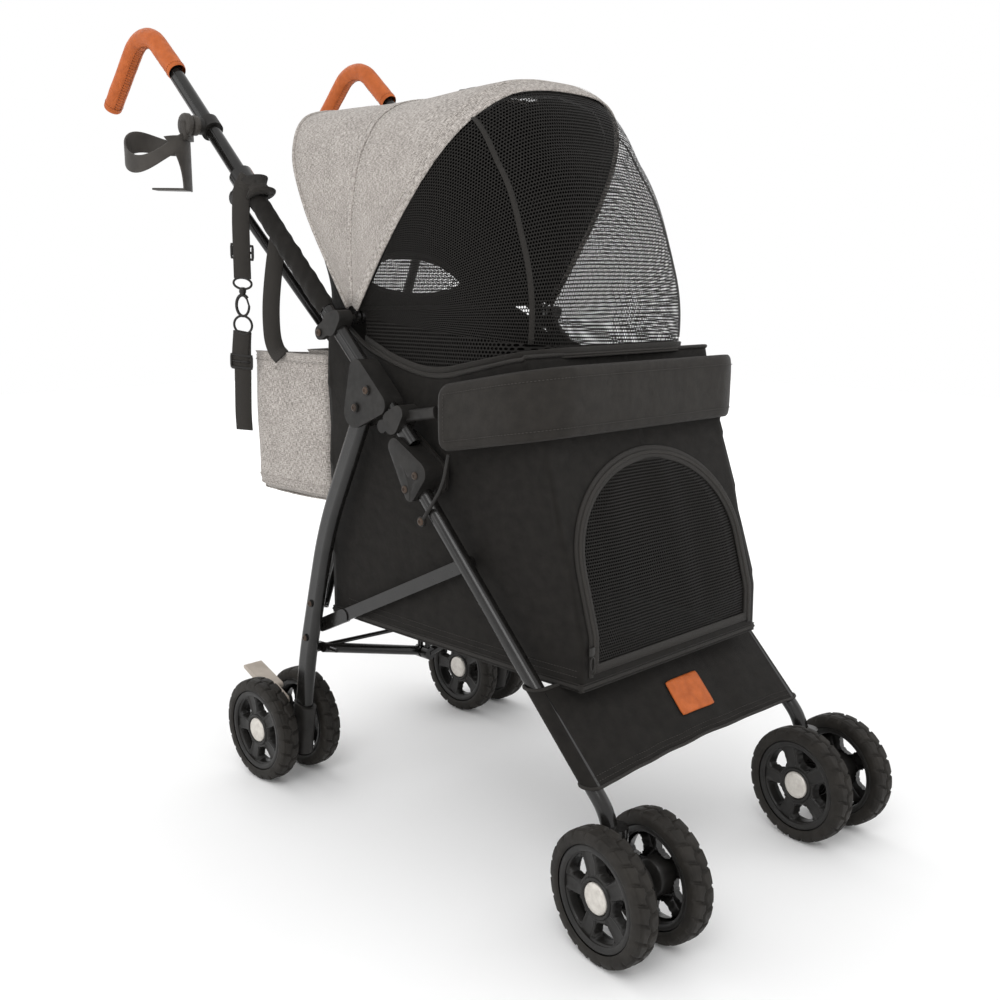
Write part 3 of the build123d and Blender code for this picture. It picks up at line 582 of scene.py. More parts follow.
def canopy():
    for name, body, low, high in (("canopy_rear_cloth", "carriage", REAR_ANGLE, SPLIT_ANGLE),
                                  ("canopy_front_cloth", "hood", SPLIT_ANGLE, FRONT_ANGLE)):
        cloth = grid(name, lambda u, v: roof(low + (high - low) * v, spread(u)), 150, 26, GREY,
                     skip=peek_hole if body == "hood" else None)
        solid_sheet(cloth, 1.2)
        node_name = "canopy_rear" if body == "carriage" else "canopy_front"
        finish_soft(cloth, body, "melange_grey", node_name)
        inside = grid(name + "_lining", lambda u, v: roof(low + (high - low) * v, spread(u), -2.4), 150, 26,
                      LINING,
                      skip=peek_hole if body == "hood" else None)
        finish_soft(inside, body, "cloth_black")
    rear_panel()
    front = arch_path(roof, FRONT_ANGLE - 0.4, 1.0)
    rear = arch_path(roof, REAR_ANGLE + 0.6, 0.6)
    hem = sweep("canopy_front_hem", front, tape(13, 2.4), GREY, outward(front))
    finish_soft(hem, "hood", "melange_grey")
    piping = sweep("canopy_rear_piping", rear, circle(2.4, 10), GREY, outward(rear))
    finish_soft(piping, "carriage", "melange_grey")
    for angle, body, step in ((SPLIT_ANGLE - 2, "carriage", 4.2), (SPLIT_ANGLE + 2.5, "hood", 4.2),
                              (70, "carriage", 5), (FRONT_ANGLE - 3.4, "hood", 3.4)):
        path = arch_path(roof, angle, 1.0)
        seam = stitches(f"canopy_stitches_{angle:.0f}", path[8:-8], step * 0.6, step * 0.4, 0.42, PALE_THREAD)
        finish_soft(seam, body, "melange_grey")
    ridge = arch_path(roof, SPLIT_ANGLE, 0.9)
    finish_soft(sweep("canopy_ridge", ridge, tape(9, 1.6), GREY, outward(ridge)), "carriage", "melange_grey")
    peek_window()


def rear_panel():
    """Dark cloth from the rear bow down to the back of the cabin, with a net window."""
    def skin(u, v):
        upper = roof(REAR_ANGLE, spread(u), -1.5)
        lower = at((2 * u - 1) * (TUB_HALF - 2), 152, 645)
        p = upper.lerp(lower, v)
        dent = math.sin(math.pi * v) * math.sin(math.pi * u)
        return p + Vector((0, 0.004 * dent, 0))

    mid_u, mid_v, half_u, half_v = 0.5, 0.84, 0.22, 0.1

    def window(turn, share, grow=0.0):
        a = 2 * math.pi * turn
        return skin(mid_u + (half_u * share + grow) * math.cos(a),
                    mid_v + (half_v * share + grow) * math.sin(a))

    def outside(u, v):
        """From the window's edge out to the panel's border."""
        a = 2 * math.pi * u
        c, s = math.cos(a), math.sin(a)
        inner = (mid_u + half_u * c, mid_v + half_v * s)
        reach = min((1 - mid_u) / max(abs(c), 1e-6), ((1 - mid_v) if s > 0 else mid_v) / max(abs(s), 1e-6))
        border = (mid_u + reach * c, mid_v + reach * s)
        return skin(inner[0] + (border[0] - inner[0]) * v, inner[1] + (border[1] - inner[1]) * v)
    cloth = grid("rear_panel_cloth", outside, 240, 30, NYLON, wrap=True)
    finish_soft(solid_sheet(cloth, 1.2), "carriage", "cloth_black")
    net = grid("rear_panel_net", window, 80, 8, NET, wrap=True)
    front_uvs(net)
    finish_soft(net, "carriage", "mesh_black")
    rim = [window(i / 96, 1, 0.004) for i in range(96)]
    binding = sweep("rear_window_binding", rim, tape(10, 2.2), BINDING, Vector((0, 1, 0.6)), closed=True)
    finish_soft(binding, "carriage", "cloth_black")


def peek_window():
    """Oval net window in the roof, with a bound edge."""
    def oval(turn, share, lift):
        a = 2 * math.pi * turn
        return roof_at(PEEK_X + PEEK_WIDE * share * math.cos(a), PEEK_Y + PEEK_DEEP * share * math.sin(a),
                       lift)

    rim = [oval(i / 72, 1, 1.2) for i in range(72)]
    binding = sweep("peek_binding", rim, tape(8, 2.2), BINDING, outward(rim), closed=True)
    finish_soft(binding, "hood", "mesh_black")
    net = grid("peek_net", lambda u, v: oval(u, v, -0.6), 48, 6, NET, wrap=True)
    flat_uvs(net)
    finish_soft(net, "hood", "mesh_black")


def roof_at(x, y, lift):
    """Point of the roof above (x, y)."""
    t = math.acos(max(-1, min(1, -math.copysign((abs(x) / HOOD_HALF) ** 1.5, x)))) / math.pi
    low, high = SPLIT_ANGLE, FRONT_ANGLE
    target = at(0, y, 0).y
    for _ in range(24):
        angle = (low + high) / 2
        if roof(angle, t, lift).y > target:
            low = angle
        else:
            high = angle
    return roof(angle, t, lift)


def flat_uvs(obj):
    """UVs in metres straight from x and y."""
    layer = obj.data.uv_layers.active
    for loop in obj.data.loops:
        co = obj.data.vertices[loop.vertex_index].co
        layer.data[loop.index].uv = (co.x, co.y)


def skirt(u, v, lift=0.0):
    """Net between the last fan plane of the hood and the zip on the cabin's rim."""
    upper = net_shape(NET_ROWS[-1][0], spread(u), lift)
    x, y = (upper.x - MID_X) / MM, (upper.y - AXLE_Y) / MM + 245
    lower = at(x * 1.004, y, rim_height(y) + 5)
    return upper.lerp(lower, v)


def wrapped_uvs(obj):
    """UVs in metres round the hood and up."""
    layer = obj.data.uv_layers.active
    for loop in obj.data.loops:
        co = obj.data.vertices[loop.vertex_index].co
        layer.data[loop.index].uv = (co.y - math.copysign(co.x, 1), co.z)


def hood_net():
    low, high = NET_ROWS[0][0], NET_ROWS[-1][0]
    upper = grid("hood_net_upper", lambda u, v: net_shape(low + (high - low) * v, spread(u)), 180, 60, NET)
    lower = grid("hood_net_lower", skirt, 180, 12, NET)
    wrapped_uvs(lower)
    net = joined("hood_net", [upper, lower])
    finish_soft(net, "hood", "mesh_black", "hood_mesh")
    rim = [skirt(i / 160, 0.97, 1.0) for i in range(161)]
    hem = sweep("net_hem", rim, tape(12, 2.0), BINDING, outward(rim))
    finish_soft(hem, "hood", "mesh_black")
    for rise, body in ((-0.002, "hood"), (-0.0045, "carriage")):
        line = [skirt(i / 160, 1.0, 1.8) + Vector((0, 0, rise)) for i in range(161)]
        coil = sweep("rim_zip_" + body, line, circle(1.5, 8), COIL, outward(line))
        finish_soft(coil, body, "mesh_black")
    for t in (0.29, 0.71):
        seam = [net_shape(low + (high - low) * i / 40, t, 0.8) for i in range(41)]
        finish_soft(sweep(f"net_seam_{t * 100:.0f}", seam, tape(7, 1.4), BINDING, outward(seam)), "hood",
                    "mesh_black")


def bows():
    for name in ("front_bow", "rear_bow"):
        bow = frame["nodes"][name]
        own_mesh(bow)


# ---- cabin --------------------------------------------------------------------------------
FRONT_LINE = [(245, -283), (305, -282), (381, -260.5), (512, -220.5), (598, -195)]
TOP_LINE = [(-196, 598), (-50, 566), (30, 584), (95, 609), (128, 646), (154, 644)]
FLOOR_Z, REAR_Y = 246, 153
RIM_SOFT = 34


def rim_height(y):
    """Height of the cabin's rim, rounded where its straight runs meet."""
    around = [piecewise(TOP_LINE, y + RIM_SOFT * k / 4) for k in range(-4, 5)]
    return sum(around) / len(around)
DOOR_HALF, DOOR_FOOT, DOOR_SPRING, DOOR_TOP = 148, 264, 370, 484


def cabin_loop(u, v):
    """Cloth wall of the cabin: once round from the middle of the front, and up."""
    half = TUB_HALF - 1
    z_low = FLOOR_Z + (598 - FLOOR_Z) * v
    depth = REAR_Y - piecewise(FRONT_LINE, z_low)
    lengths = [half, depth, 2 * half, depth, half]
    run = u * sum(lengths)
    for side, length in enumerate(lengths):
        if run <= length or side == 4:
            break
        run -= length
    share = run / length
    x = (-half * share, -half, -half + 2 * half * share, half, half * (1 - share))[side]
    back = (0, share, 1, 1 - share, 0)[side]
    top = 598 if side in (0, 4) else rim_height(-195 + back * (REAR_Y + 195))
    z = FLOOR_Z + (top - FLOOR_Z) * v
    front = piecewise(FRONT_LINE, min(z, 598))
    y = front + back * (REAR_Y - front)
    return Vector((x, y, z)), side, share


def cabin_point(u, v):
    p, side, share = cabin_loop(u, v)
    z_share = (p.z - FLOOR_Z) / 352
    edge = min(1, v * 6) * min(1, (1 - v) * 5)
    slack = wrinkle((p.x * 0.7, p.y * 0.7, p.z * 0.45), 95, 2) * 3.2
    slack += wrinkle((p.x * 1.4, p.y * 1.4, p.z * 0.5), 38, 7) * 1.3
    ends = min(1, min(share, 1 - share) * 7) if side in (1, 2, 3) else 1.0
    if side in (1, 3):
        sign = -1 if side == 1 else 1
        p.x += sign * (min(0.6, slack) * edge * ends - 2.5 * math.sin(math.pi * share) * edge)
    elif side == 2:
        p.y += slack * edge * ends * 0.7 - 2 * edge
    elif z_share > 0.7:
        p.y += slack * edge * 0.9
    soften = 7 * (1 - ends) if side in (1, 3) else 0
    p.x -= math.copysign(soften * 0.35, p.x)
    return at(*p)


def in_door(point, margin=0.0):
    x = (point.x - at(0, 0, 0).x) / MM
    z = point.z / MM
    if point.y > at(0, -150, 0).y or z < DOOR_FOOT + margin:
        return False
    half = DOOR_HALF - margin
    if z <= DOOR_SPRING:
        return abs(x) < half
    rise = DOOR_TOP - margin - DOOR_SPRING
    return (x / half) ** 2 + ((z - DOOR_SPRING) / rise) ** 2 < 1


def door_line(inset, lift, count=44):
    """The door's arch from its lower left corner over the top, as points on the front panel."""
    half, rise = DOOR_HALF - inset, DOOR_TOP - inset - DOOR_SPRING
    flat = [(-half, DOOR_FOOT + inset + (DOOR_SPRING - DOOR_FOOT - inset) * i / 12) for i in range(12)]
    for i in range(count + 1):
        a = math.pi * (1 - i / count)
        flat.append((half * math.cos(a), DOOR_SPRING + rise * math.sin(a)))
    flat += [(half, DOOR_SPRING - (DOOR_SPRING - DOOR_FOOT - inset) * i / 12) for i in range(1, 13)]
    return [at(x, piecewise(FRONT_LINE, z) - lift, z) for x, z in flat]


def cabin():
    cloth = grid("cabin_cloth", cabin_point, 220, 64, NYLON, wrap=True, skip=lambda p: in_door(p, 5))
    floor = grid("cabin_floor", lambda u, v: at((2 * u - 1) * 166, -281 + 433 * v, FLOOR_Z + 0.5), 20, 24,
                 NYLON)
    walls = joined("cabin_walls", [cloth, floor])
    solid_sheet(walls, 1.2)
    finish_soft(walls, "carriage", "cloth_black", "tub_shell")
    rim = [cabin_point(i / 240, 1.0) + Vector((0, 0, 0.001)) for i in range(240)]
    finish_soft(sweep("cabin_rim", rim, circle(2.6, 10), BINDING, closed=True), "carriage", "cloth_black")
    hem = [cabin_point(i / 240, 0.012) for i in range(240)]
    finish_soft(sweep("cabin_hem", hem, tape(3.4, 9), BINDING, closed=True), "carriage", "cloth_black")
    for row, height in enumerate((0.045, 0.065)):
        for start, end, name in ((0.113, 0.37, "right"), (0.63, 0.887, "left")):
            line = [cabin_point(start + (end - start) * i / 90, height) for i in range(91)]
            shift = Vector(((-0.0009 if name == "right" else 0.0009), 0, 0))
            seam = stitches(f"hem_stitches_{name}_{row}", [p + shift for p in line], 2.6, 1.6, 0.35,
                            DARK_THREAD)
            finish_soft(seam, "carriage", "cloth_black")
    for inset, lift, name in ((-4, 1.6, "door_binding_outer"), (4.5, 1.8, "door_binding_inner")):
        line = door_line(inset, lift)
        rides = "carriage" if inset < 0 else "door"
        tape_up = [Vector((0, -1, 0.25))] * len(line)
        finish_soft(sweep(name, line, tape(7.5, 1.8), BINDING, tape_up), rides, "mesh_black")
    for inset, body in ((-0.7, "carriage"), (0.9, "door")):
        line = door_line(inset, 2.7)
        coil = sweep("door_zip_" + body, line, circle(1.25, 8), COIL, [Vector((0, -1, 0.25))] * len(line))
        finish_soft(coil, body, "mesh_black")


def door():
    def shape(u, v):
        z = DOOR_FOOT + 3 + (DOOR_TOP - DOOR_FOOT - 8) * v
        half = DOOR_HALF - 4
        if z > DOOR_SPRING:
            half *= math.sqrt(max(0, 1 - ((z - DOOR_SPRING) / (DOOR_TOP - 4 - DOOR_SPRING)) ** 2))
        x = (2 * u - 1) * half
        inside = min(1, (half - abs(x)) / 26) * min(1, v * 8)
        belly = 3.5 * inside + wrinkle((x * 1.6, 0, z * 0.35), 60, 4) * 2.6 * inside
        return at(x, piecewise(FRONT_LINE, z) - belly, z)
    net = grid("door_net", shape, 90, 60, DOOR_NET)
    front_uvs(net)
    finish_soft(net, "door", "mesh_black", "door_flap")
    foot = [at(x, -283 - 1.2, DOOR_FOOT + 4) for x in range(-146, 147, 4)]
    finish_soft(sweep("door_foot_binding", foot, tape(11, 2.2), BINDING, Vector((0, -1, 0))), "door",
                "mesh_black")


def front_uvs(obj):
    layer = obj.data.uv_layers.active
    for loop in obj.data.loops:
        co = obj.data.vertices[loop.vertex_index].co
        layer.data[loop.index].uv = (co.x, co.z)


def zip_pull():
    low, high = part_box("zip_slider")
    middle = (low + high) / 2
    body = sweep("pull_body", [Vector((middle.x, middle.y, high.z - 0.002 - 0.01 * i / 6)) for i in range(7)],
                 circle(4.6, 10, 0.36), GLOSS, Vector((0, -1, 0)))
    loop = [Vector((middle.x + 0.0032 * math.cos(a), low.y + 0.0012, high.z - 0.0205 + 0.0078 * math.sin(a)))
            for a in (2 * math.pi * i / 24 for i in range(24))]
    ring = sweep("pull_ring", loop, circle(0.9, 8), GLOSS, Vector((0, -1, 0)), closed=True)
    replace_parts(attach(joined("zip_pull", [body, ring]), "zip"), "zip_slider")


def floor_cushion():
    low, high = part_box("floor_pad")
    size = high - low

    def puff(u, v):
        x, y = (2 * u - 1), (2 * v - 1)
        edge = (1 - abs(x) ** 6) * (1 - abs(y) ** 6)
        quilt = abs(math.sin(u * 3 * math.pi) * math.sin(v * 4 * math.pi)) ** 0.35
        return Vector((low.x + size.x * (0.02 + 0.96 * u), low.y + size.y * (0.02 + 0.96 * v),
                       low.z + size.z * (0.35 + 0.6 * edge * (0.45 + 0.55 * quilt))))
    pad = grid("floor_cushion", puff, 80, 96, LINING)
    baked(modified(pad, "SOLIDIFY", thickness=0.003, offset=-1))
    finish_soft(pad, "carriage", "cloth_black", "floor_pad")


# ---- bumper band --------------------------------------------------------------------------
BAND_FRONT, BAND_BACK, BAND_MIDDLE, BAND_TILT = -238, -85, 553, math.tan(math.radians(10))
BAND_HALF, BAND_CORNER, BAND_HEIGHT, BAND_END = 188, 56, 74, 17


def band_line(share, lift=0.0):
    """Point of the band's middle line, from its right end round the front to its left end, and
    the direction out of it."""
    straight = BAND_BACK - BAND_FRONT - BAND_CORNER
    flat = 2 * (BAND_HALF - BAND_CORNER)
    bend = BAND_CORNER * math.pi / 2
    run = share * (2 * straight + 2 * bend + flat)
    if run < straight:
        x, y, out = -BAND_HALF, BAND_BACK - run, Vector((-1, 0, 0))
    elif run < straight + bend:
        a = (run - straight) / BAND_CORNER
        out = Vector((-math.cos(a), -math.sin(a), 0))
        x, y = -BAND_HALF + BAND_CORNER, BAND_FRONT + BAND_CORNER
        x, y = x + out.x * BAND_CORNER, y + out.y * BAND_CORNER
    elif run < straight + bend + flat:
        x, y, out = -BAND_HALF + BAND_CORNER + run - straight - bend, BAND_FRONT, Vector((0, -1, 0))
    else:
        mirrored, out = band_line(1 - share, lift)
        return Vector((-mirrored.x, mirrored.y, mirrored.z)), Vector((-out.x, out.y, 0))
    z = BAND_MIDDLE - (y - BAND_FRONT) * BAND_TILT
    return Vector((x, y, z)) + out * lift, out


def band_point(share, height, lift):
    """Point on the band's outer face; height runs from -1 at the lower edge to 1."""
    p, out = band_line(share, lift)
    ripple = wrinkle((share * 700, height * 22, 0), 55, 6) * 1.5
    total = 2 * (BAND_BACK - BAND_FRONT - BAND_CORNER) + BAND_CORNER * math.pi + 2 * (BAND_HALF - BAND_CORNER)
    near = min(BAND_END, min(share, 1 - share) * total)
    half = BAND_HEIGHT / 2 - BAND_END + math.sqrt(BAND_END ** 2 - (BAND_END - near) ** 2)
    return at(*(p + out * ripple * (1 - abs(height) ** 4) + Vector((0, 0, height * half))))


def bumper_band():
    def skin(u, v):
        a = 2 * math.pi * u
        up, side = math.cos(a), math.sin(a)
        height = math.copysign(abs(up) ** 0.35, up)
        thick = 6.3 * math.copysign(abs(side) ** 0.5, side)
        return band_point(0.006 + 0.988 * v, height, thick)
    band = grid("bumper_band", skin, 48, 200, BAND, wrap=True)
    cap_ends(band, 48, 200)
    finish_soft(band, "carriage", "cloth_black", "bumper_cover")
    for height, name in ((0.965, "top"), (-0.965, "foot")):
        edge = [band_point(0.006 + 0.988 * i / 160, height, 1.0) for i in range(161)]
        finish_soft(sweep("band_edge_" + name, edge, circle(2.6, 10), BINDING), "carriage", "cloth_black")
    frame_line = [band_point(0.02 + 0.96 * i / 160, -0.72, 7.2) for i in range(161)]
    upper_line = [band_point(0.02 + 0.96 * i / 160, 0.72, 7.2) for i in range(161)]
    for line, name in ((frame_line, "low"), (upper_line, "high")):
        sewn("band_stitches_" + name, line)
    for share in (0.02, 0.98):
        line = [band_point(share, -0.72 + 1.44 * i / 20, 7.2) for i in range(21)]
        sewn(f"band_end_stitches_{share * 100:.0f}", line)


def cap_ends(obj, around, rows):
    """Closes both ends of a wrapped grid."""
    data = obj.data
    faces = [tuple(p.vertices) for p in data.polygons]
    faces += [tuple(reversed(range(around))), tuple(range(rows * around, (rows + 1) * around))]
    verts = [v.co.copy() for v in data.vertices]
    layer = data.uv_layers.active
    uvs = {data.loops[i].vertex_index: tuple(layer.data[i].uv) for i in range(len(data.loops))}
    fresh = mesh_object("capped", verts, faces, data.materials[0], [uvs[i] for i in range(len(verts))])
    obj.data = fresh.data
    bpy.data.objects.remove(fresh)


# ---- apron, patch -------------------------------------------------------------------------
LEG_TOP, LEG_FOOT = (-30, 468), (-338, 141)
APRON_TOP, APRON_FOOT = 249, 160
APRON_WRAP, APRON_TURN = 11.5, 215


def leg_y(z):
    return LEG_TOP[0] + (z - LEG_TOP[1]) * (LEG_FOOT[0] - LEG_TOP[0]) / (LEG_FOOT[1] - LEG_TOP[1])


def apron_point(u, v, lift=0.0):
    """The apron wraps round both front legs and hangs between them in a shallow curve."""
    z = APRON_TOP + (APRON_FOOT - APRON_TOP) * v
    radius, wrap = APRON_WRAP + lift, math.radians(APRON_TURN)
    arc = radius * wrap
    width = 2 * SIDE_X
    run = u * (2 * arc + width)
    axis = leg_y(z)
    if run < arc:
        a = wrap * (1 - run / arc)
        x, y = -SIDE_X - radius * math.sin(a), axis - radius * math.cos(a)
    elif run > arc + width:
        a = wrap * (run - arc - width) / arc
        x, y = SIDE_X + radius * math.sin(a), axis - radius * math.cos(a)
    else:
        share = (run - arc) / width
        x, y = -SIDE_X + width * share, axis - radius
        hollow = math.sin(math.pi * share)
        y += -3 * hollow * (1 - v) + 5 * hollow * v + wrinkle((x * 1.2, z * 0.8, 0), 60, 9) * 2.4 * hollow
        z += (2.5 * hollow + wrinkle((x, 0, 0), 45, 1) * 1.5) * v
    return at(x, y, z)


def apron():
    cloth = grid("apron_cloth", apron_point, 170, 30, NYLON)
    solid_sheet(cloth, 1.3)
    finish_soft(cloth, "carriage", "cloth_black", "front_apron")
    for v, name in ((0.985, "foot"), (0.015, "top")):
        line = [apron_point(i / 170, v, 0.8) for i in range(171)]
        hem = sweep("apron_hem_" + name, line, circle(1.9, 8), BINDING)
        finish_soft(hem, "carriage", "cloth_black")
    for v in (0.88, 0.93):
        line = [apron_point(0.1 + 0.8 * i / 150, v, 1.2) for i in range(151)]
        sewn(f"apron_stitches_{v * 100:.0f}", line, gap=1.8, radius=0.38)
    leather_patch()


def leather_patch():
    """Blank stitched leather label on the apron."""
    cx, half, low, high = 16, 31, 0.26, 0.64

    def place(x, share, lift):
        width = 2 * SIDE_X
        arc = 11.5 * math.radians(215)
        u = (arc + (x + SIDE_X)) / (2 * arc + width)
        p = apron_point(u, 1 - (low + (high - low) * share), 0)
        return p + Vector((0, -0.7, 0.55)).normalized() * lift * MM

    def slab(u, v):
        x, share = 2 * u - 1, 2 * v - 1
        round_x, round_y = x * (1 - 0.03 * share ** 8), share * (1 - 0.03 * x ** 8)
        dome = 1.4 + 1.3 * (1 - abs(x) ** 10) * (1 - abs(share) ** 10)
        return place(cx + half * round_x, 0.5 + 0.5 * round_y, dome)
    patch = grid("leather_patch", slab, 34, 28, LEATHER)
    solid_sheet(patch, 1.4, 1.0)
    finish_soft(patch, "carriage", "tan_grip")
    outline = []
    for i in range(40):
        outline.append(place(cx - half + 3 + (2 * half - 6) * i / 40, 0.07, 3.1))
    for i in range(30):
        outline.append(place(cx + half - 3, 0.07 + 0.86 * i / 30, 3.1))
    for i in range(40):
        outline.append(place(cx + half - 3 - (2 * half - 6) * i / 40, 0.93, 3.1))
    for i in range(31):
        outline.append(place(cx - half + 3, 0.93 - 0.86 * i / 30, 3.1))
    finish_soft(stitches("patch_stitches", outline, 2.2, 1.3, 0.45, PALE_THREAD), "carriage", "tan_grip")


# ---- bag, straps ---------------------------------------------------------------------------
BAG_BULGE = 1.2


def bag_loop(u):
    """Plan of the bag, as x and y: round from the middle of its back, with a front that makes room
    for the crossed brace."""
    half, front, back, corner = 166, 158, 350, 46
    recess, recess_y = 103, 297
    plan = [(0, back)]
    for k in range(7):
        a = math.pi / 2 * k / 6
        plan.append((-half + corner - corner * math.sin(a), back - corner + corner * math.cos(a)))
    plan += [(-half, 262), (-half, 200), (-half + 3, front + 5), (-half + 12, front), (-recess - 12, front),
             (-recess - 1, front + 10), (-recess, 220), (-recess, recess_y - 8), (-recess + 10, recess_y),
             (0, recess_y)]
    plan += [(-x, y) for x, y in reversed(plan[1:-1])]
    lengths = [0.0]
    for a, b in zip(plan, plan[1:] + plan[:1]):
        lengths.append(lengths[-1] + math.dist(a, b))
    run = (u % 1) * lengths[-1]
    for i, (a, b) in enumerate(zip(plan, plan[1:] + plan[:1])):
        if run <= lengths[i + 1]:
            break
    share = (run - lengths[i]) / (lengths[i + 1] - lengths[i])
    return a[0] + (b[0] - a[0]) * share, a[1] + (b[1] - a[1]) * share


def bag_point(u, v, lift=0.0):
    """The bag sags: its foot is rounded and full, and its rim dips between the corners."""
    x, y = bag_loop(u)
    foot, top = 394, 580
    tuck = 9 * max(0, 1 - v / 0.09) ** 2
    full = 2.0 * math.sin(math.pi * min(1, v * 1.1)) + wrinkle((x, y, v * 120), 60, 11) * 2.6 * min(1, v * 5)
    z = foot + (top - foot) * v
    if y > 300:
        z -= 9 * v * math.sin(math.pi * max(0, min(1, (x + 166) / 332)))
    shift = lift - tuck + min(BAG_BULGE, full - 2.5)
    p = Vector((x, y, z)) + Vector((x * 0.6, (y - 250), 0)).normalized() * shift
    return at(*p)


def bag():
    walls = grid("bag_walls", lambda u, v: bag_point(u, v), 200, 36, GREY, wrap=True)
    solid_sheet(walls, 1.4)
    floor = grid("bag_floor", bag_floor, 40, 30, GREY)
    solid_sheet(floor, 1.4)
    finish_soft(joined("bag_cloth", [walls, floor]), "carriage", "melange_grey", "storage_bag")
    rim = [bag_point(i / 220, 1.0) for i in range(220)]
    finish_soft(sweep("bag_rim", rim, tape(2.6, 12), GREY, closed=True), "carriage", "melange_grey")
    for v, name in ((0.045, "foot"), (0.1, "welt")):
        line = [bag_point(i / 220, v, 0.8) for i in range(220)]
        finish_soft(sweep("bag_piping_" + name, line, circle(2.1 if name == "foot" else 1.2, 8), GREY,
                          closed=True),
                    "carriage", "melange_grey")
    line = [bag_point(0.02 + 0.3 * i / 120, 0.9, 1.3) for i in range(121)]
    finish_soft(stitches("bag_stitches", line, 2.8, 1.8, 0.4, PALE_THREAD), "carriage", "melange_grey")


def bag_floor(u, v):
    x = (2 * u - 1) * 158
    front = 300 if abs(x) < 105 else 162
    past = max(0, abs(x) - 120)
    back = 303 + math.sqrt(max(0, 40 ** 2 - past ** 2))
    y = front + (back - front) * v
    return at(x, y, 395 - 2 * math.sin(math.pi * v))


STRAP_OUT = Vector((-0.76, -0.62, 0.12)).normalized()


def webbing(name, points, width=24, body="side_right", per=8):
    path = smooth_path([at(*p) for p in points], per)
    strap = sweep(name, path, tape(width, 2.0), WEBBING, STRAP_OUT)
    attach(strap, body)
    return strap


def carry_straps():
    strap = webbing("carry_strap_upper", [(-203, 262, 812), (-208, 270, 795), (-206, 279, 760),
                                          (-199, 291, 712), (-196, 296, 683)])
    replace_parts(strap, "carry_strap")
    webbing("carry_strap_fold", [(-205.5, 271, 790), (-204.2, 281, 757), (-199.4, 289, 723)], 22)
    webbing("carry_strap_lower", [(-189, 310.5, 613), (-186, 318, 590), (-181, 328, 545), (-176, 338, 500),
                                  (-171.5, 344, 474)])
    webbing("carry_strap_return", [(-190.5, 312, 612), (-188, 321, 585), (-185, 329, 560)])
    clasp()
    buckle([(-200, 288, 726), (-197.5, 292.5, 709)], "strap_slide_upper")
    buckle([(-186.5, 321, 580), (-184.5, 325, 563)], "strap_slide_lower")
    inner = [(-176, 236, 742), (-176, 250, 700), (-175, 262, 650), (-171, 268, 610), (-169.5, 262, 590),
             (-169, 250, 580)]
    hanging = smooth_path([at(*p) for p in inner], 8)
    second = sweep("hanging_strap", hanging, tape(24, 2.0), WEBBING, STRAP_OUT)
    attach(second, "side_right")
    loop = [at(-SIDE_X + 12.5 * math.cos(a) * 1.05, 262 + 12 * math.sin(a),
               798 + 9.5 * math.sin(a) - 13.5 * math.sin(a))
            for a in (2 * math.pi * i / 40 for i in range(40))]
    wrap = sweep("strap_loop", loop, tape(2.0, 24), WEBBING, Vector((0, 0.72, 0.69)), closed=True)
    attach(wrap, "side_right")


def buckle(ends, name):
    """Three-bar slide: a frame with a middle bar."""
    a, b = (at(*p) for p in ends)
    along = (b - a).normalized()
    across = along.cross(STRAP_OUT).normalized()
    corners = [a - across * 0.0145, b - across * 0.0145, b + across * 0.0145, a + across * 0.0145]
    rim = []
    for p, q in zip(corners, corners[1:] + corners[:1]):
        rim += [p.lerp(q, k / 6) for k in range(6)]
    ring = sweep(name + "_rim", rim, circle(1.9, 8), GLOSS, STRAP_OUT, closed=True)
    middle = a.lerp(b, 0.5)
    bar = sweep(name + "_bar", [middle - across * 0.0145, middle, middle + across * 0.0145], circle(1.7, 8),
                GLOSS,
                STRAP_OUT)
    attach(joined(name, [ring, bar]), "side_right")


def clasp():
    """Swivel snap hook between the two webbing loops, with a ring below it."""
    top, foot = at(-196, 296, 684), at(-189.5, 309.5, 617)
    along = (foot - top).normalized()
    out = STRAP_OUT
    across = along.cross(out).normalized()
    parts = []
    shape = []
    for i in range(28):
        a = 2 * math.pi * i / 28
        shape.append(top + along * (0.0075 - 0.0075 * math.cos(a)) + across * 0.0125 * math.sin(a))
    parts.append(sweep("clasp_eye", shape, circle(1.6, 8), GLOSS, out, closed=True))
    parts.append(sweep("clasp_swivel", [top + along * x * MM for x in (13, 15, 17, 19, 21, 23)],
                       circle(4.2, 12), GLOSS, out,
                       scale=lambda t: 0.7 + 0.5 * math.sin(math.pi * t)))
    hook = []
    for i in range(30):
        a = math.pi * (1.75 * i / 29 - 0.25)
        hook.append(top + along * (0.0375 - 0.0115 * math.cos(a) * 1.25) + across * 0.0088 * math.sin(a))
    parts.append(sweep("clasp_hook", hook, circle(2.0, 8), GLOSS, out, scale=lambda t: 1.25 - 0.4 * t))
    gate = [hook[-1].lerp(hook[1], k / 5) for k in range(6)]
    parts.append(sweep("clasp_gate", gate, circle(1.3, 8), GLOSS, out))
    centre = foot - along * 0.0045
    ring = [centre + along * 0.0125 * math.cos(a) + across * 0.0125 * math.sin(a)
            for a in (2 * math.pi * i / 32 for i in range(32))]
    parts.append(sweep("clasp_ring", ring, circle(1.7, 8), GLOSS, out, closed=True))
    clip = joined("snap_clasp", parts)
    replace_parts(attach(clip, "side_right"), "snap_hook")


# ---- grips --------------------------------------------------------------------------------
GRIP_FOOT, GRIP_CORNER, GRIP_TIP, GRIP_BEND, GRIP_R = (448, 962.7), (534, 1039), (642.2, 934.9), 54, 13.4


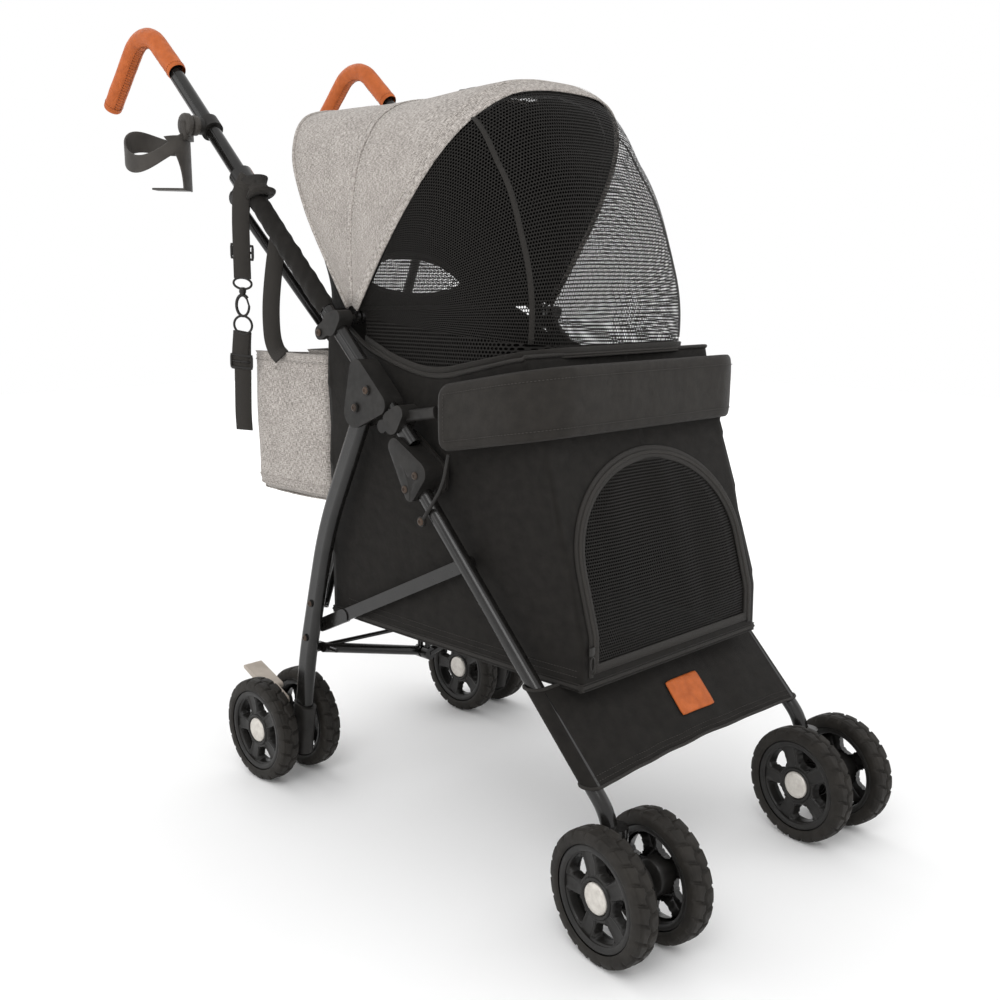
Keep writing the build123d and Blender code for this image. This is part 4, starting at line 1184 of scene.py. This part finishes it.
def rounded(points, radius, per=16):
    """Two straight runs joined by an arc, as (y, z) points."""
    a, b, c = (Vector(p) for p in points)
    into, out = (b - a).normalized(), (c - b).normalized()
    turn = into.angle(out)
    back = radius * math.tan(turn / 2)
    start, end = b - into * back, b + out * back
    bisector = (out - into).normalized()
    centre = b + bisector * radius / math.cos(turn / 2)
    path = [a.lerp(start, k / 8) for k in range(8)]
    for k in range(per + 1):
        spoke = (start - centre) * math.cos(turn * k / per) + into * radius * math.sin(turn * k / per)
        path.append(centre + spoke)
    path += [end.lerp(c, k / 8) for k in range(1, 9)]
    return path


def grips():
    line = rounded([GRIP_FOOT, GRIP_CORNER, GRIP_TIP], GRIP_BEND)
    for sign, suffix in ((-1, "right"), (1, "left")):
        fine = resample([at(sign * SIDE_X, p.x, p.y) for p in line], 2.2 * MM)
        count = len(fine)
        rings = 26

        def skin(u, v):
            i = min(count - 1, round(v * (count - 1)))
            tangent = (fine[min(i + 1, count - 1)] - fine[max(i - 1, 0)]).normalized()
            up = Vector((-1, 0, 0)).cross(tangent)
            if up.z < 0:
                up = -up
            a = 2 * math.pi * u
            inward = max(0, -math.cos(a)) ** 3
            gather = 0.35 * math.sin(i * 2.1) * inward + wrinkle((a * 9, i * 2.2, 0), 14, 4) * 0.3
            ends = min(1, min(i, count - 1 - i) / 1.5)
            radius = (GRIP_R - 1.1 * (1 - ends) ** 2 + gather) * MM
            return fine[i] + (up * math.cos(a) + Vector((-1, 0, 0)) * math.sin(a)) * radius
        cover = grid("grip_" + suffix, skin, rings, count - 1, LEATHER, wrap=True)
        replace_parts(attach(cover, "side_" + suffix), "handle_grip_" + suffix)
        for angle, name in ((158, "a"), (202, "b")):
            row = []
            for k in range(4, count - 3):
                base = skin(angle / 360, k / (count - 1))
                row.append(base + (base - fine[k]).normalized() * 0.0004)
            thread = stitches(f"grip_stitches_{name}_{suffix}", row, 2.6, 1.8, 0.55, THREAD)
            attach(thread, "side_" + suffix)
        crosses = []
        for k in range(4, count - 4, 2):
            a = skin(160 / 360, k / (count - 1))
            b = skin(200 / 360, (k + 1) / (count - 1))
            crosses.append(sweep("cross", [a, a.lerp(b, 0.5) + (a - fine[k]).normalized() * 0.0006, b],
                                 circle(0.5, 6), THREAD,
                                 Vector((1, 0, 0)).cross(a - b)))
        lacing = joined("grip_lacing_" + suffix, crosses)
        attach(lacing, "side_" + suffix)
        for k, name in ((3, "top"), (count - 5, "tip")):
            ring = [skin(i / 40, k / (count - 1)) + (skin(i / 40, k / (count - 1)) - fine[k]).normalized()
                    * 0.0003 for i in range(41)]
            thread = stitches(f"grip_hem_{name}_{suffix}", ring, 2.2, 1.2, 0.45, THREAD)
            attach(thread, "side_" + suffix)
        end = fine[-1] + (fine[-1] - fine[-2]).normalized() * 0.0008
        inward = (fine[-1] - fine[-2]).normalized()
        side = Vector((1, 0, 0))
        plug = grid("grip_end_" + suffix,
                    lambda u, v: end - inward * 0.002 * v * v + (side * math.cos(2 * math.pi * u)
                                 + inward.cross(side) * math.sin(2 * math.pi * u)) * 0.0126 * v, 32, 6,
                    LEATHER, wrap=True)
        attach(plug, "side_" + suffix)


# ---- wheels -------------------------------------------------------------------------------
WHEEL_R, TYRE_HALF, BEAD_R = 71, 14.2, 55.4


def tyre_profile():
    """Half-section of a tyre as (across, radius) points, from one bead over the tread to the other."""
    outline = [(-12.6, BEAD_R + 0.2), (-14.0, BEAD_R + 2), (-14.2, 60), (-13.6, 65.5), (-11.6, 69.4),
               (-8.5, 70.6), (0, 71),
               (8.5, 70.6), (11.6, 69.4), (13.6, 65.5), (14.2, 60), (14.0, BEAD_R + 2), (12.6, BEAD_R + 0.2)]
    return resample([Vector((a, r, 0)) for a, r in outline], 1.25)


def tread_depth(across, turn):
    """Depth of the tread grooves: slanted blocks that meet a wavy middle groove."""
    blocks = 22
    lean = 0.28 * across / TYRE_HALF
    phase = (turn / (2 * math.pi) * blocks + lean * (1 if across > 0 else -1)
             + (0.5 if across > 0 else 0)) % 1
    edge = min(phase, 1 - phase) * 2 * math.pi * WHEEL_R / blocks
    wave = 1.6 * math.sin(turn * blocks)
    middle = abs(across - wave)
    shoulder = min(1, max(0, (14.4 - abs(across)) / 3))
    slot = max(0, 1 - (edge / 2.1) ** 4) * (1 if abs(across) > 3.0 else 0)
    groove = max(0, 1 - (middle / 1.5) ** 4)
    side = abs(across) > 9.6 and abs(across) < 10.6
    return 2.7 * max(slot * (0.35 + 0.65 * shoulder), groove * 0.8, 0.35 if side else 0)


def tyre_mesh():
    section, steps = tyre_profile(), 440
    verts, uvs, faces = [], [], []
    for i in range(steps):
        turn = 2 * math.pi * i / steps
        for j, point in enumerate(section):
            across, radius = point.x, point.y
            tread = min(1, max(0, (radius - 60.5) / 5))
            radius -= tread_depth(across, turn) * tread
            radius += 0.35 if 58.2 < radius < 59.2 else 0
            verts.append(Vector((across, radius * math.cos(turn), radius * math.sin(turn))) * MM)
            uvs.append((turn * 0.071, j * 0.0013))
    n = len(section)
    for i in range(steps):
        k = (i + 1) % steps
        for j in range(n - 1):
            faces.append((i * n + j, k * n + j, k * n + j + 1, i * n + j + 1))
    return verts, faces, uvs


def rim_face(side):
    """Five-spoke rim disc with rounded windows, dished towards the hub; side is +1 for its outer
    face along +X."""
    rings, steps = 26, 200
    verts, uvs, faces, keep = [], [], [], {}

    def window(radius, turn):
        phase = ((turn * 5 / (2 * math.pi)) % 1 - 0.5) * 2 * math.pi / 5
        width = 0.5 * (0.86 - 0.23 * (44 - radius) / 20)
        across = abs(phase) * radius
        limit = width * radius * 0.92
        inside = min(limit - across, radius - 25.5, 45.5 - radius)
        corner = min(limit - across, 7), min(radius - 25.5, 45.5 - radius, 7)
        if inside > 0 and min(corner) < 7:
            inside = min(inside, 7 - math.hypot(7 - corner[0], 7 - corner[1]))
        return inside
    for j in range(rings + 1):
        radius = 17.5 + (49.5 - 17.5) * j / rings
        for i in range(steps):
            turn = 2 * math.pi * i / steps
            inside = window(radius, turn)
            dish = 8.4 - 1.6 * math.sin(math.pi * (radius - 17.5) / 32)
            roll = 1.6 * max(0, 1 - abs(inside + 2.0) / 2.4)
            drop = 9 if inside > 0.6 else max(0, inside + 0.6) * 6
            verts.append(Vector((side * (dish + roll - drop), radius * math.cos(turn),
                                 radius * math.sin(turn))) * MM)
            uvs.append((turn * 0.05, radius * MM))
            keep[j * steps + i] = inside < 0.6
    for j in range(rings):
        for i in range(steps):
            k = (i + 1) % steps
            face = (j * steps + i, j * steps + k, (j + 1) * steps + k, (j + 1) * steps + i)
            if any(keep[n] for n in face):
                faces.append(face if side < 0 else tuple(reversed(face)))
    return verts, faces, uvs


def turned(name, outline, surface, steps=96):
    """Solid of revolution about X from (across, radius) points in millimetres."""
    verts, uvs, faces, n = [], [], [], len(outline)
    run = [0.0]
    for a, b in zip(outline, outline[1:]):
        run.append(run[-1] + math.dist(a, b) * MM)
    for i in range(steps):
        turn = 2 * math.pi * i / steps
        for (across, radius), along in zip(outline, run):
            verts.append(Vector((across, radius * math.cos(turn), radius * math.sin(turn))) * MM)
            uvs.append((turn * 0.05, along))
    for i in range(steps):
        k = (i + 1) % steps
        for j in range(n - 1):
            faces.append((i * n + j, k * n + j, k * n + j + 1, i * n + j + 1))
    return mesh_object(name, verts, faces, surface, uvs)


def placed(obj, centre, yaw):
    turn = Vector((0, 0, yaw))
    for vert in obj.data.vertices:
        c, s = math.cos(turn.z), math.sin(turn.z)
        x, y, z = vert.co
        vert.co = Vector((x * c - y * s, x * s + y * c, z)) + centre
    return obj


def wheels():
    tread, spokes = tyre_mesh(), {side: rim_face(side) for side in (-1, 1)}
    for end in ("front", "rear"):
        for suffix in ("right", "left"):
            low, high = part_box(f"{end}_tyres_{suffix}")
            centre = (low + high) / 2
            joint = next(j for j in frame["joints"] if j["name"] == f"{end}_wheels_spin_{suffix}")
            yaw = math.atan2(joint["axis"][1], joint["axis"][0])
            reach = high.x - low.x - 2 * TYRE_HALF * MM * math.cos(yaw)
            reach = (reach - 2 * WHEEL_R * MM * abs(math.sin(yaw))) / 2 / math.cos(yaw)
            tyres, rims, caps = [], [], []
            for side in (-1, 1):
                middle = Vector((reach * side, 0, 0))
                for target, made in (
                        (tyres, mesh_object("tyre", tread[0], tread[1], TYRE, tread[2])),
                        (rims, mesh_object("spokes", *spokes[side][:2], RIM, spokes[side][2])),
                        (rims, turned("barrel",
                                      [(side * 10.4, 47.6), (side * 12.2, 49.4), (side * 12.4, 53.6),
                                                 (side * 11.2, BEAD_R + 0.3), (-side * 11.2, BEAD_R + 0.3),
                                                 (-side * 12.2, 53.4), (-side * 11.8, 49), (-side * 9, 47.6),
                                                 (side * 10.4, 47.6)], RIM)),
                        (rims, turned("hub", [(side * 8.2, 17.2), (side * 9.4, 18.6), (side * 10.6, 19.4),
                                              (side * 9.6, 21.4),
                                              (side * 6, 22), (-side * 10, 20), (-side * 12, 18),
                                              (-side * 12, 4.3)], RIM)),
                        (caps, turned("cap", [(side * 11.3, 0.01), (side * 11.2, 10), (side * 11.0, 13.6),
                                              (side * 10.2, 15.8), (side * 9.0, 16.6), (side * 8.0, 16.7)],
                                      CAP))):
                    for vert in made.data.vertices:
                        vert.co += middle
                    target.append(placed(made, centre, yaw))
            for kind, parts, slot in (("tyres", tyres, "tyre"), ("rims", rims, "rim"),
                                      ("hub_caps", caps, "hub_silver")):
                piece = joined(f"{end}_{kind}_{suffix}_detail", parts)
                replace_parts(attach(piece, f"{end}_wheels_{suffix}"), f"{end}_{kind}_{suffix}")


# ---- cup holder ---------------------------------------------------------------------------
def cup_cage():
    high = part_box("cup_holder")[1]
    heading = Vector((-0.6392, 0.7690, 0))
    hinge = at(-SIDE_X - 30.5, 370, 0)
    hinge.z = high.z - 0.015
    axis = hinge + heading * 0.046 - Vector((0, 0, 0.030))
    toward = math.atan2(-heading.y, -heading.x)
    radius = 0.0405

    def ring(u, v):
        """Two looping bands: high near the spine, low and wide opposite it."""
        turn = 2 * math.pi * u
        near = 0.5 + 0.5 * math.cos(turn)
        middle = -14 + 22 * math.sin(turn + 0.25) * 0.62 + 9 * math.cos(2 * turn + 0.6)
        half = 7.2 + 7.5 * (1 - near) ** 1.5 + 4 * near ** 4
        a = toward + turn
        z = axis.z + (middle + half * (2 * v - 1) + 14) * MM
        return Vector((axis.x + radius * math.cos(a), axis.y + radius * math.sin(a), z))

    def spine(u, v):
        flare = 15 + 26 * v ** 2.2
        a = toward + (2 * u - 1) * flare / 40.5
        z = axis.z + (-55 + 67 * v + 4 * (1 - (2 * u - 1) ** 2) * v) * MM
        return Vector((axis.x + radius * math.cos(a), axis.y + radius * math.sin(a), z))

    def foot(u, v):
        reach = 1 - 1.18 * v
        across = (2 * u - 1) * (15 - 5 * v * v)
        base = axis + Vector((math.cos(toward), math.sin(toward), 0)) * radius * reach
        side = Vector((-math.sin(toward), math.cos(toward), 0)) * across * MM
        return Vector((base.x + side.x, base.y + side.y, axis.z - (54.5 - 1.2 * v) * MM))
    parts = []
    for name, func, columns, rows, wrap in (("ring", ring, 96, 10, True), ("spine", spine, 20, 24, False),
                                            ("foot", foot, 12, 14, False)):
        piece = grid("cup_" + name, func, columns, rows, HOLDER, wrap=wrap)
        baked(modified(modified(piece, "SOLIDIFY", thickness=0.0026, offset=1),
                       "BEVEL", width=0.0009, segments=2, limit_method="ANGLE"))
        parts.append(piece)
    neck = [hinge + Vector((0, 0, z * MM)) + heading * 0.004 for z in (4, -4, -12, -20)]
    parts.append(sweep("cup_neck", neck, [(-13, -4), (13, -4), (15, 0), (13, 4.5), (-13, 4.5), (-15, 0)],
                       HOLDER, heading))
    for shift, size in ((-6.5, 15.0), (5.5, 13.0)):
        dome = turned("cup_head", [(-4.8, 0.01), (-4.8, size * 0.7), (-3.6, size * 0.94), (-1.6, size),
                                   (3.6, size),
                                   (4.8, size * 0.92), (5.4, size * 0.6), (5.4, 0.01)], HOLDER, 48)
        for vert in dome.data.vertices:
            vert.co += hinge + Vector((shift * MM, 0, 0))
        parts.append(dome)
    cage = joined("cup_cage", parts)
    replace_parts(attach(cage, "cup"), "cup_holder")


# ---- small fittings -----------------------------------------------------------------------
def screw(name, place, radius, out, body, surface=BOLT):
    """Domed screw head with a six-lobed socket."""
    out = Vector(out).normalized()
    side = out.orthogonal().normalized()
    other = out.cross(side)
    verts, faces = [], []
    rows = ((1.0, 0.0), (1.0, 0.5), (0.9, 1.1), (0.62, 1.6), (0.46, 1.7), (0.42, 0.5), (0.0, 0.4))
    steps = 36
    for share, lift in rows:
        for i in range(steps):
            a = 2 * math.pi * i / steps
            lobe = 1 + 0.16 * math.cos(6 * a) if share < 0.5 else 1
            verts.append(place + (side * math.cos(a) + other * math.sin(a)) * radius * share * lobe * MM
                         + out * lift * MM)
    for j in range(len(rows) - 1):
        for i in range(steps):
            k = (i + 1) % steps
            faces.append((j * steps + i, j * steps + k, (j + 1) * steps + k, (j + 1) * steps + i))
    made = mesh_object(name, verts, faces, surface, [(v.x, v.z) for v in verts])
    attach(made, body)
    return made


def screws():
    places = {"bracket_top": (26, 552, -16.4), "bracket_pivot": (48, 530, -16.4),
              "latch_a": (-62, 460, -16.9),
              "latch_b": (-44, 442, -16.9), "stay_eye": (-68, 407, -13.9), "hinge_ear": (121, 617, -12.4)}
    for suffix, sign in (("right", -1), ("left", 1)):
        for name, (y, z, depth) in places.items():
            screw(f"screw_{name}_{suffix}", at(sign * (SIDE_X - depth), y, z), 4.6, (sign, 0, 0),
                  "side_" + suffix)
        for name, (y, z) in {"leg_low": (174, 212), "leg_mid": (160.4, 262)}.items():
            screw(f"screw_{name}_{suffix}", at(sign * (SIDE_X + 9.9), y, z), 4.2, (sign, 0, 0),
                  "leg_" + suffix)


def latch_covers():
    """Teardrop cover on each latch, with a sunk curved line."""
    for suffix, sign in (("right", -1), ("left", 1)):
        def outline(a):
            """Support of the three rounded corners of the latch."""
            best = max(((-24, 489, 10.4), (-64, 463, 13.4), (-50, 437, 8.4)),
                       key=lambda c: c[0] * math.cos(a) + c[1] * math.sin(a) + c[2])
            return best[0] + best[2] * math.cos(a), best[1] + best[2] * math.sin(a)

        def face(u, v):
            a = 2 * math.pi * u
            y, z = outline(a)
            cy, cz = -47, 463
            y, z = cy + (y - cy) * v, cz + (z - cz) * v
            dome = 1.8 * (1 - v ** 6)
            reach = math.hypot(y + 20, z - 440)
            dome -= 0.9 * max(0, 1 - abs(reach - 33) / 1.3)
            return at(sign * (SIDE_X + 15 + dome), y, z)
        cover = grid("latch_cover_" + suffix, face, 120, 30, PLASTIC, wrap=True)
        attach(cover, "side_" + suffix)


def tube_ridges():
    """Raised ridges along the outer face of each handle tube."""
    a, b = Vector((-18, 513.8)), Vector((498, 1007))
    for suffix, sign in (("right", -1), ("left", 1)):
        across = Vector((-(b - a).normalized().y, (b - a).normalized().x))
        for k, shift in enumerate((-4.2, 4.2)):
            line = [at(sign * (SIDE_X + 7.6), *(a.lerp(b, i / 40) + across * shift)) for i in range(41)]
            ridge = sweep(f"tube_ridge_{k}_{suffix}", line, circle(1.3, 8), TUBE, Vector((1, 0, 0)))
            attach(ridge, "side_" + suffix)


def sleeves():
    """Dark cloth sleeve with a gathered end where the hood is tied to each handle tube."""
    a, b = Vector((118, 643.6)), Vector((268, 787))
    for suffix, sign in (("right", -1), ("left", 1)):
        def skin(u, v):
            p = a.lerp(b, v)
            turn = 2 * math.pi * u
            along = (b - a).normalized()
            radius = 13.4 + 0.8 * math.sin(turn * 3 + v * 60) * 0.5 + wrinkle((u * 40, v * 140, 0), 11,
                                                                              5) * 1.1
            radius -= 2.2 * max(0, 1 - min(v, 1 - v) * 22)
            y, z = p.x - along.y * radius * math.cos(turn), p.y + along.x * radius * math.cos(turn)
            return at(sign * (SIDE_X + radius * 0.82 * math.sin(turn)), y, z)
        cover = grid("tube_sleeve_" + suffix, skin, 36, 80, NYLON, wrap=True)
        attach(cover, "side_" + suffix)


def hubs():
    """Ribbed spring cover between each pair of front wheels."""
    for suffix in ("right", "left"):
        low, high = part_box("front_tyres_" + suffix)
        centre = (low + high) / 2
        joint = next(j for j in frame["joints"] if j["name"] == f"front_wheels_spin_{suffix}")
        yaw = math.atan2(joint["axis"][1], joint["axis"][0])
        ribs = [(x / 2, 20.6 + 1.3 * math.sin(x * 1.35)) for x in range(-26, 27)]
        cover = placed(turned("spring_cover_" + suffix, ribs, PLASTIC), centre, yaw)
        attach(cover, "caster_" + suffix)


# ---- CAD nodes that stay ------------------------------------------------------------------
def finish_nodes():
    looks = {"tube_black": TUBE, "plastic_black": PLASTIC, "plastic_gloss": GLOSS, "pedal_grey": PEDAL}
    slots = {s["node"]: s["material_slot"] for s in frame["record"]["subparts"]}
    for name, obj in frame["nodes"].items():
        look = looks.get(slots[name], PLASTIC)
        obj.data.materials.clear()
        obj.data.materials.append(look)
        if name.startswith(("cup_clamp", "leg_bracket", "latch", "hood_hinge", "bumper_clamp", "brake",
                            "rear_axle", "caster")):
            modified(obj, "BEVEL", width=0.0008, segments=2, limit_method="ANGLE",
                     angle_limit=math.radians(40))


# ---- stage --------------------------------------------------------------------------------
def stage():
    floor = grid("floor", lambda u, v: Vector((-6 + 12 * u, -6 + 12 * v, -0.0005)), 2, 2, floor_look())
    world = bpy.data.worlds.new("studio")
    bpy.context.scene.world = world
    world.use_nodes = True
    world.node_tree.nodes["Background"].inputs["Color"].default_value = (1, 1, 1, 1)
    world.node_tree.nodes["Background"].inputs["Strength"].default_value = 1.0
    for name, place, size, power in (("key", (-2.2, -1.6, 3.0), 1.6, 30), ("fill", (2.4, -2.4, 2.2), 2.2, 9),
                                     ("back", (0.4, 2.6, 2.4), 2.0, 12), ("side", (-3.0, 1.2, 1.4), 1.4, 9)):
        light = bpy.data.lights.new(name, "AREA")
        light.size, light.energy = size, power
        lamp = bpy.data.objects.new(name, light)
        lamp.location = place
        lamp.rotation_euler = (Vector((0, 0, 0.5)) - Vector(place)).to_track_quat("-Z", "Y").to_euler()
        bpy.context.scene.collection.objects.link(lamp)
    bpy.context.scene.view_settings.view_transform = "Standard"


def floor_look():
    """Pale floor with painted light: it glows more the further it lies from the object, so that it meets the white
    behind it.
    """
    made, tree, bsdf, coord = material("floor_white", Roughness=0.9, Emission_Color=(1, 1, 1, 1))
    shade = speckle(tree, coord.outputs["Object"], 3, 2)
    away = node(tree, "VectorMath", {0: coord.outputs["Object"]}, operation="LENGTH").outputs["Value"]
    # painted light: emission on the floor that grows with distance from the object
    painted_glow = node(tree, "MapRange", {"Value": away, "From Min": 0.8, "From Max": 2.4, "To Max": 0.3})
    link(tree, bsdf, Base_Color=ramp(tree, shade, (0.2, 0.93), (0.8, 0.96)),
         Emission_Strength=painted_glow.outputs[0])
    return made


def camera():
    lens = bpy.data.cameras.new("camera")
    lens.sensor_width, lens.lens = 36, 41.08
    lens.shift_x, lens.shift_y = 0.0167, 0.0106
    cam = bpy.data.objects.new("camera", lens)
    a, e = math.radians(-44.345), math.radians(11.189)
    back = Vector((math.sin(a) * math.cos(e), -math.cos(a) * math.cos(e), math.sin(e)))
    cam.location = at(-1051.8, -1039, 674.7)
    cam.rotation_euler = (-back).to_track_quat("-Z", "Y").to_euler()
    lens.clip_start, lens.clip_end = 0.01, 50
    bpy.context.scene.collection.objects.link(cam)
    bpy.context.scene.camera = cam


finish_nodes()
camera()
stage()
canopy()
hood_net()
bows()
cabin()
door()
zip_pull()
floor_cushion()
bumper_band()
apron()
bag()
carry_straps()
grips()
wheels()
cup_cage()
screws()
latch_covers()
tube_ridges()
sleeves()
hubs()
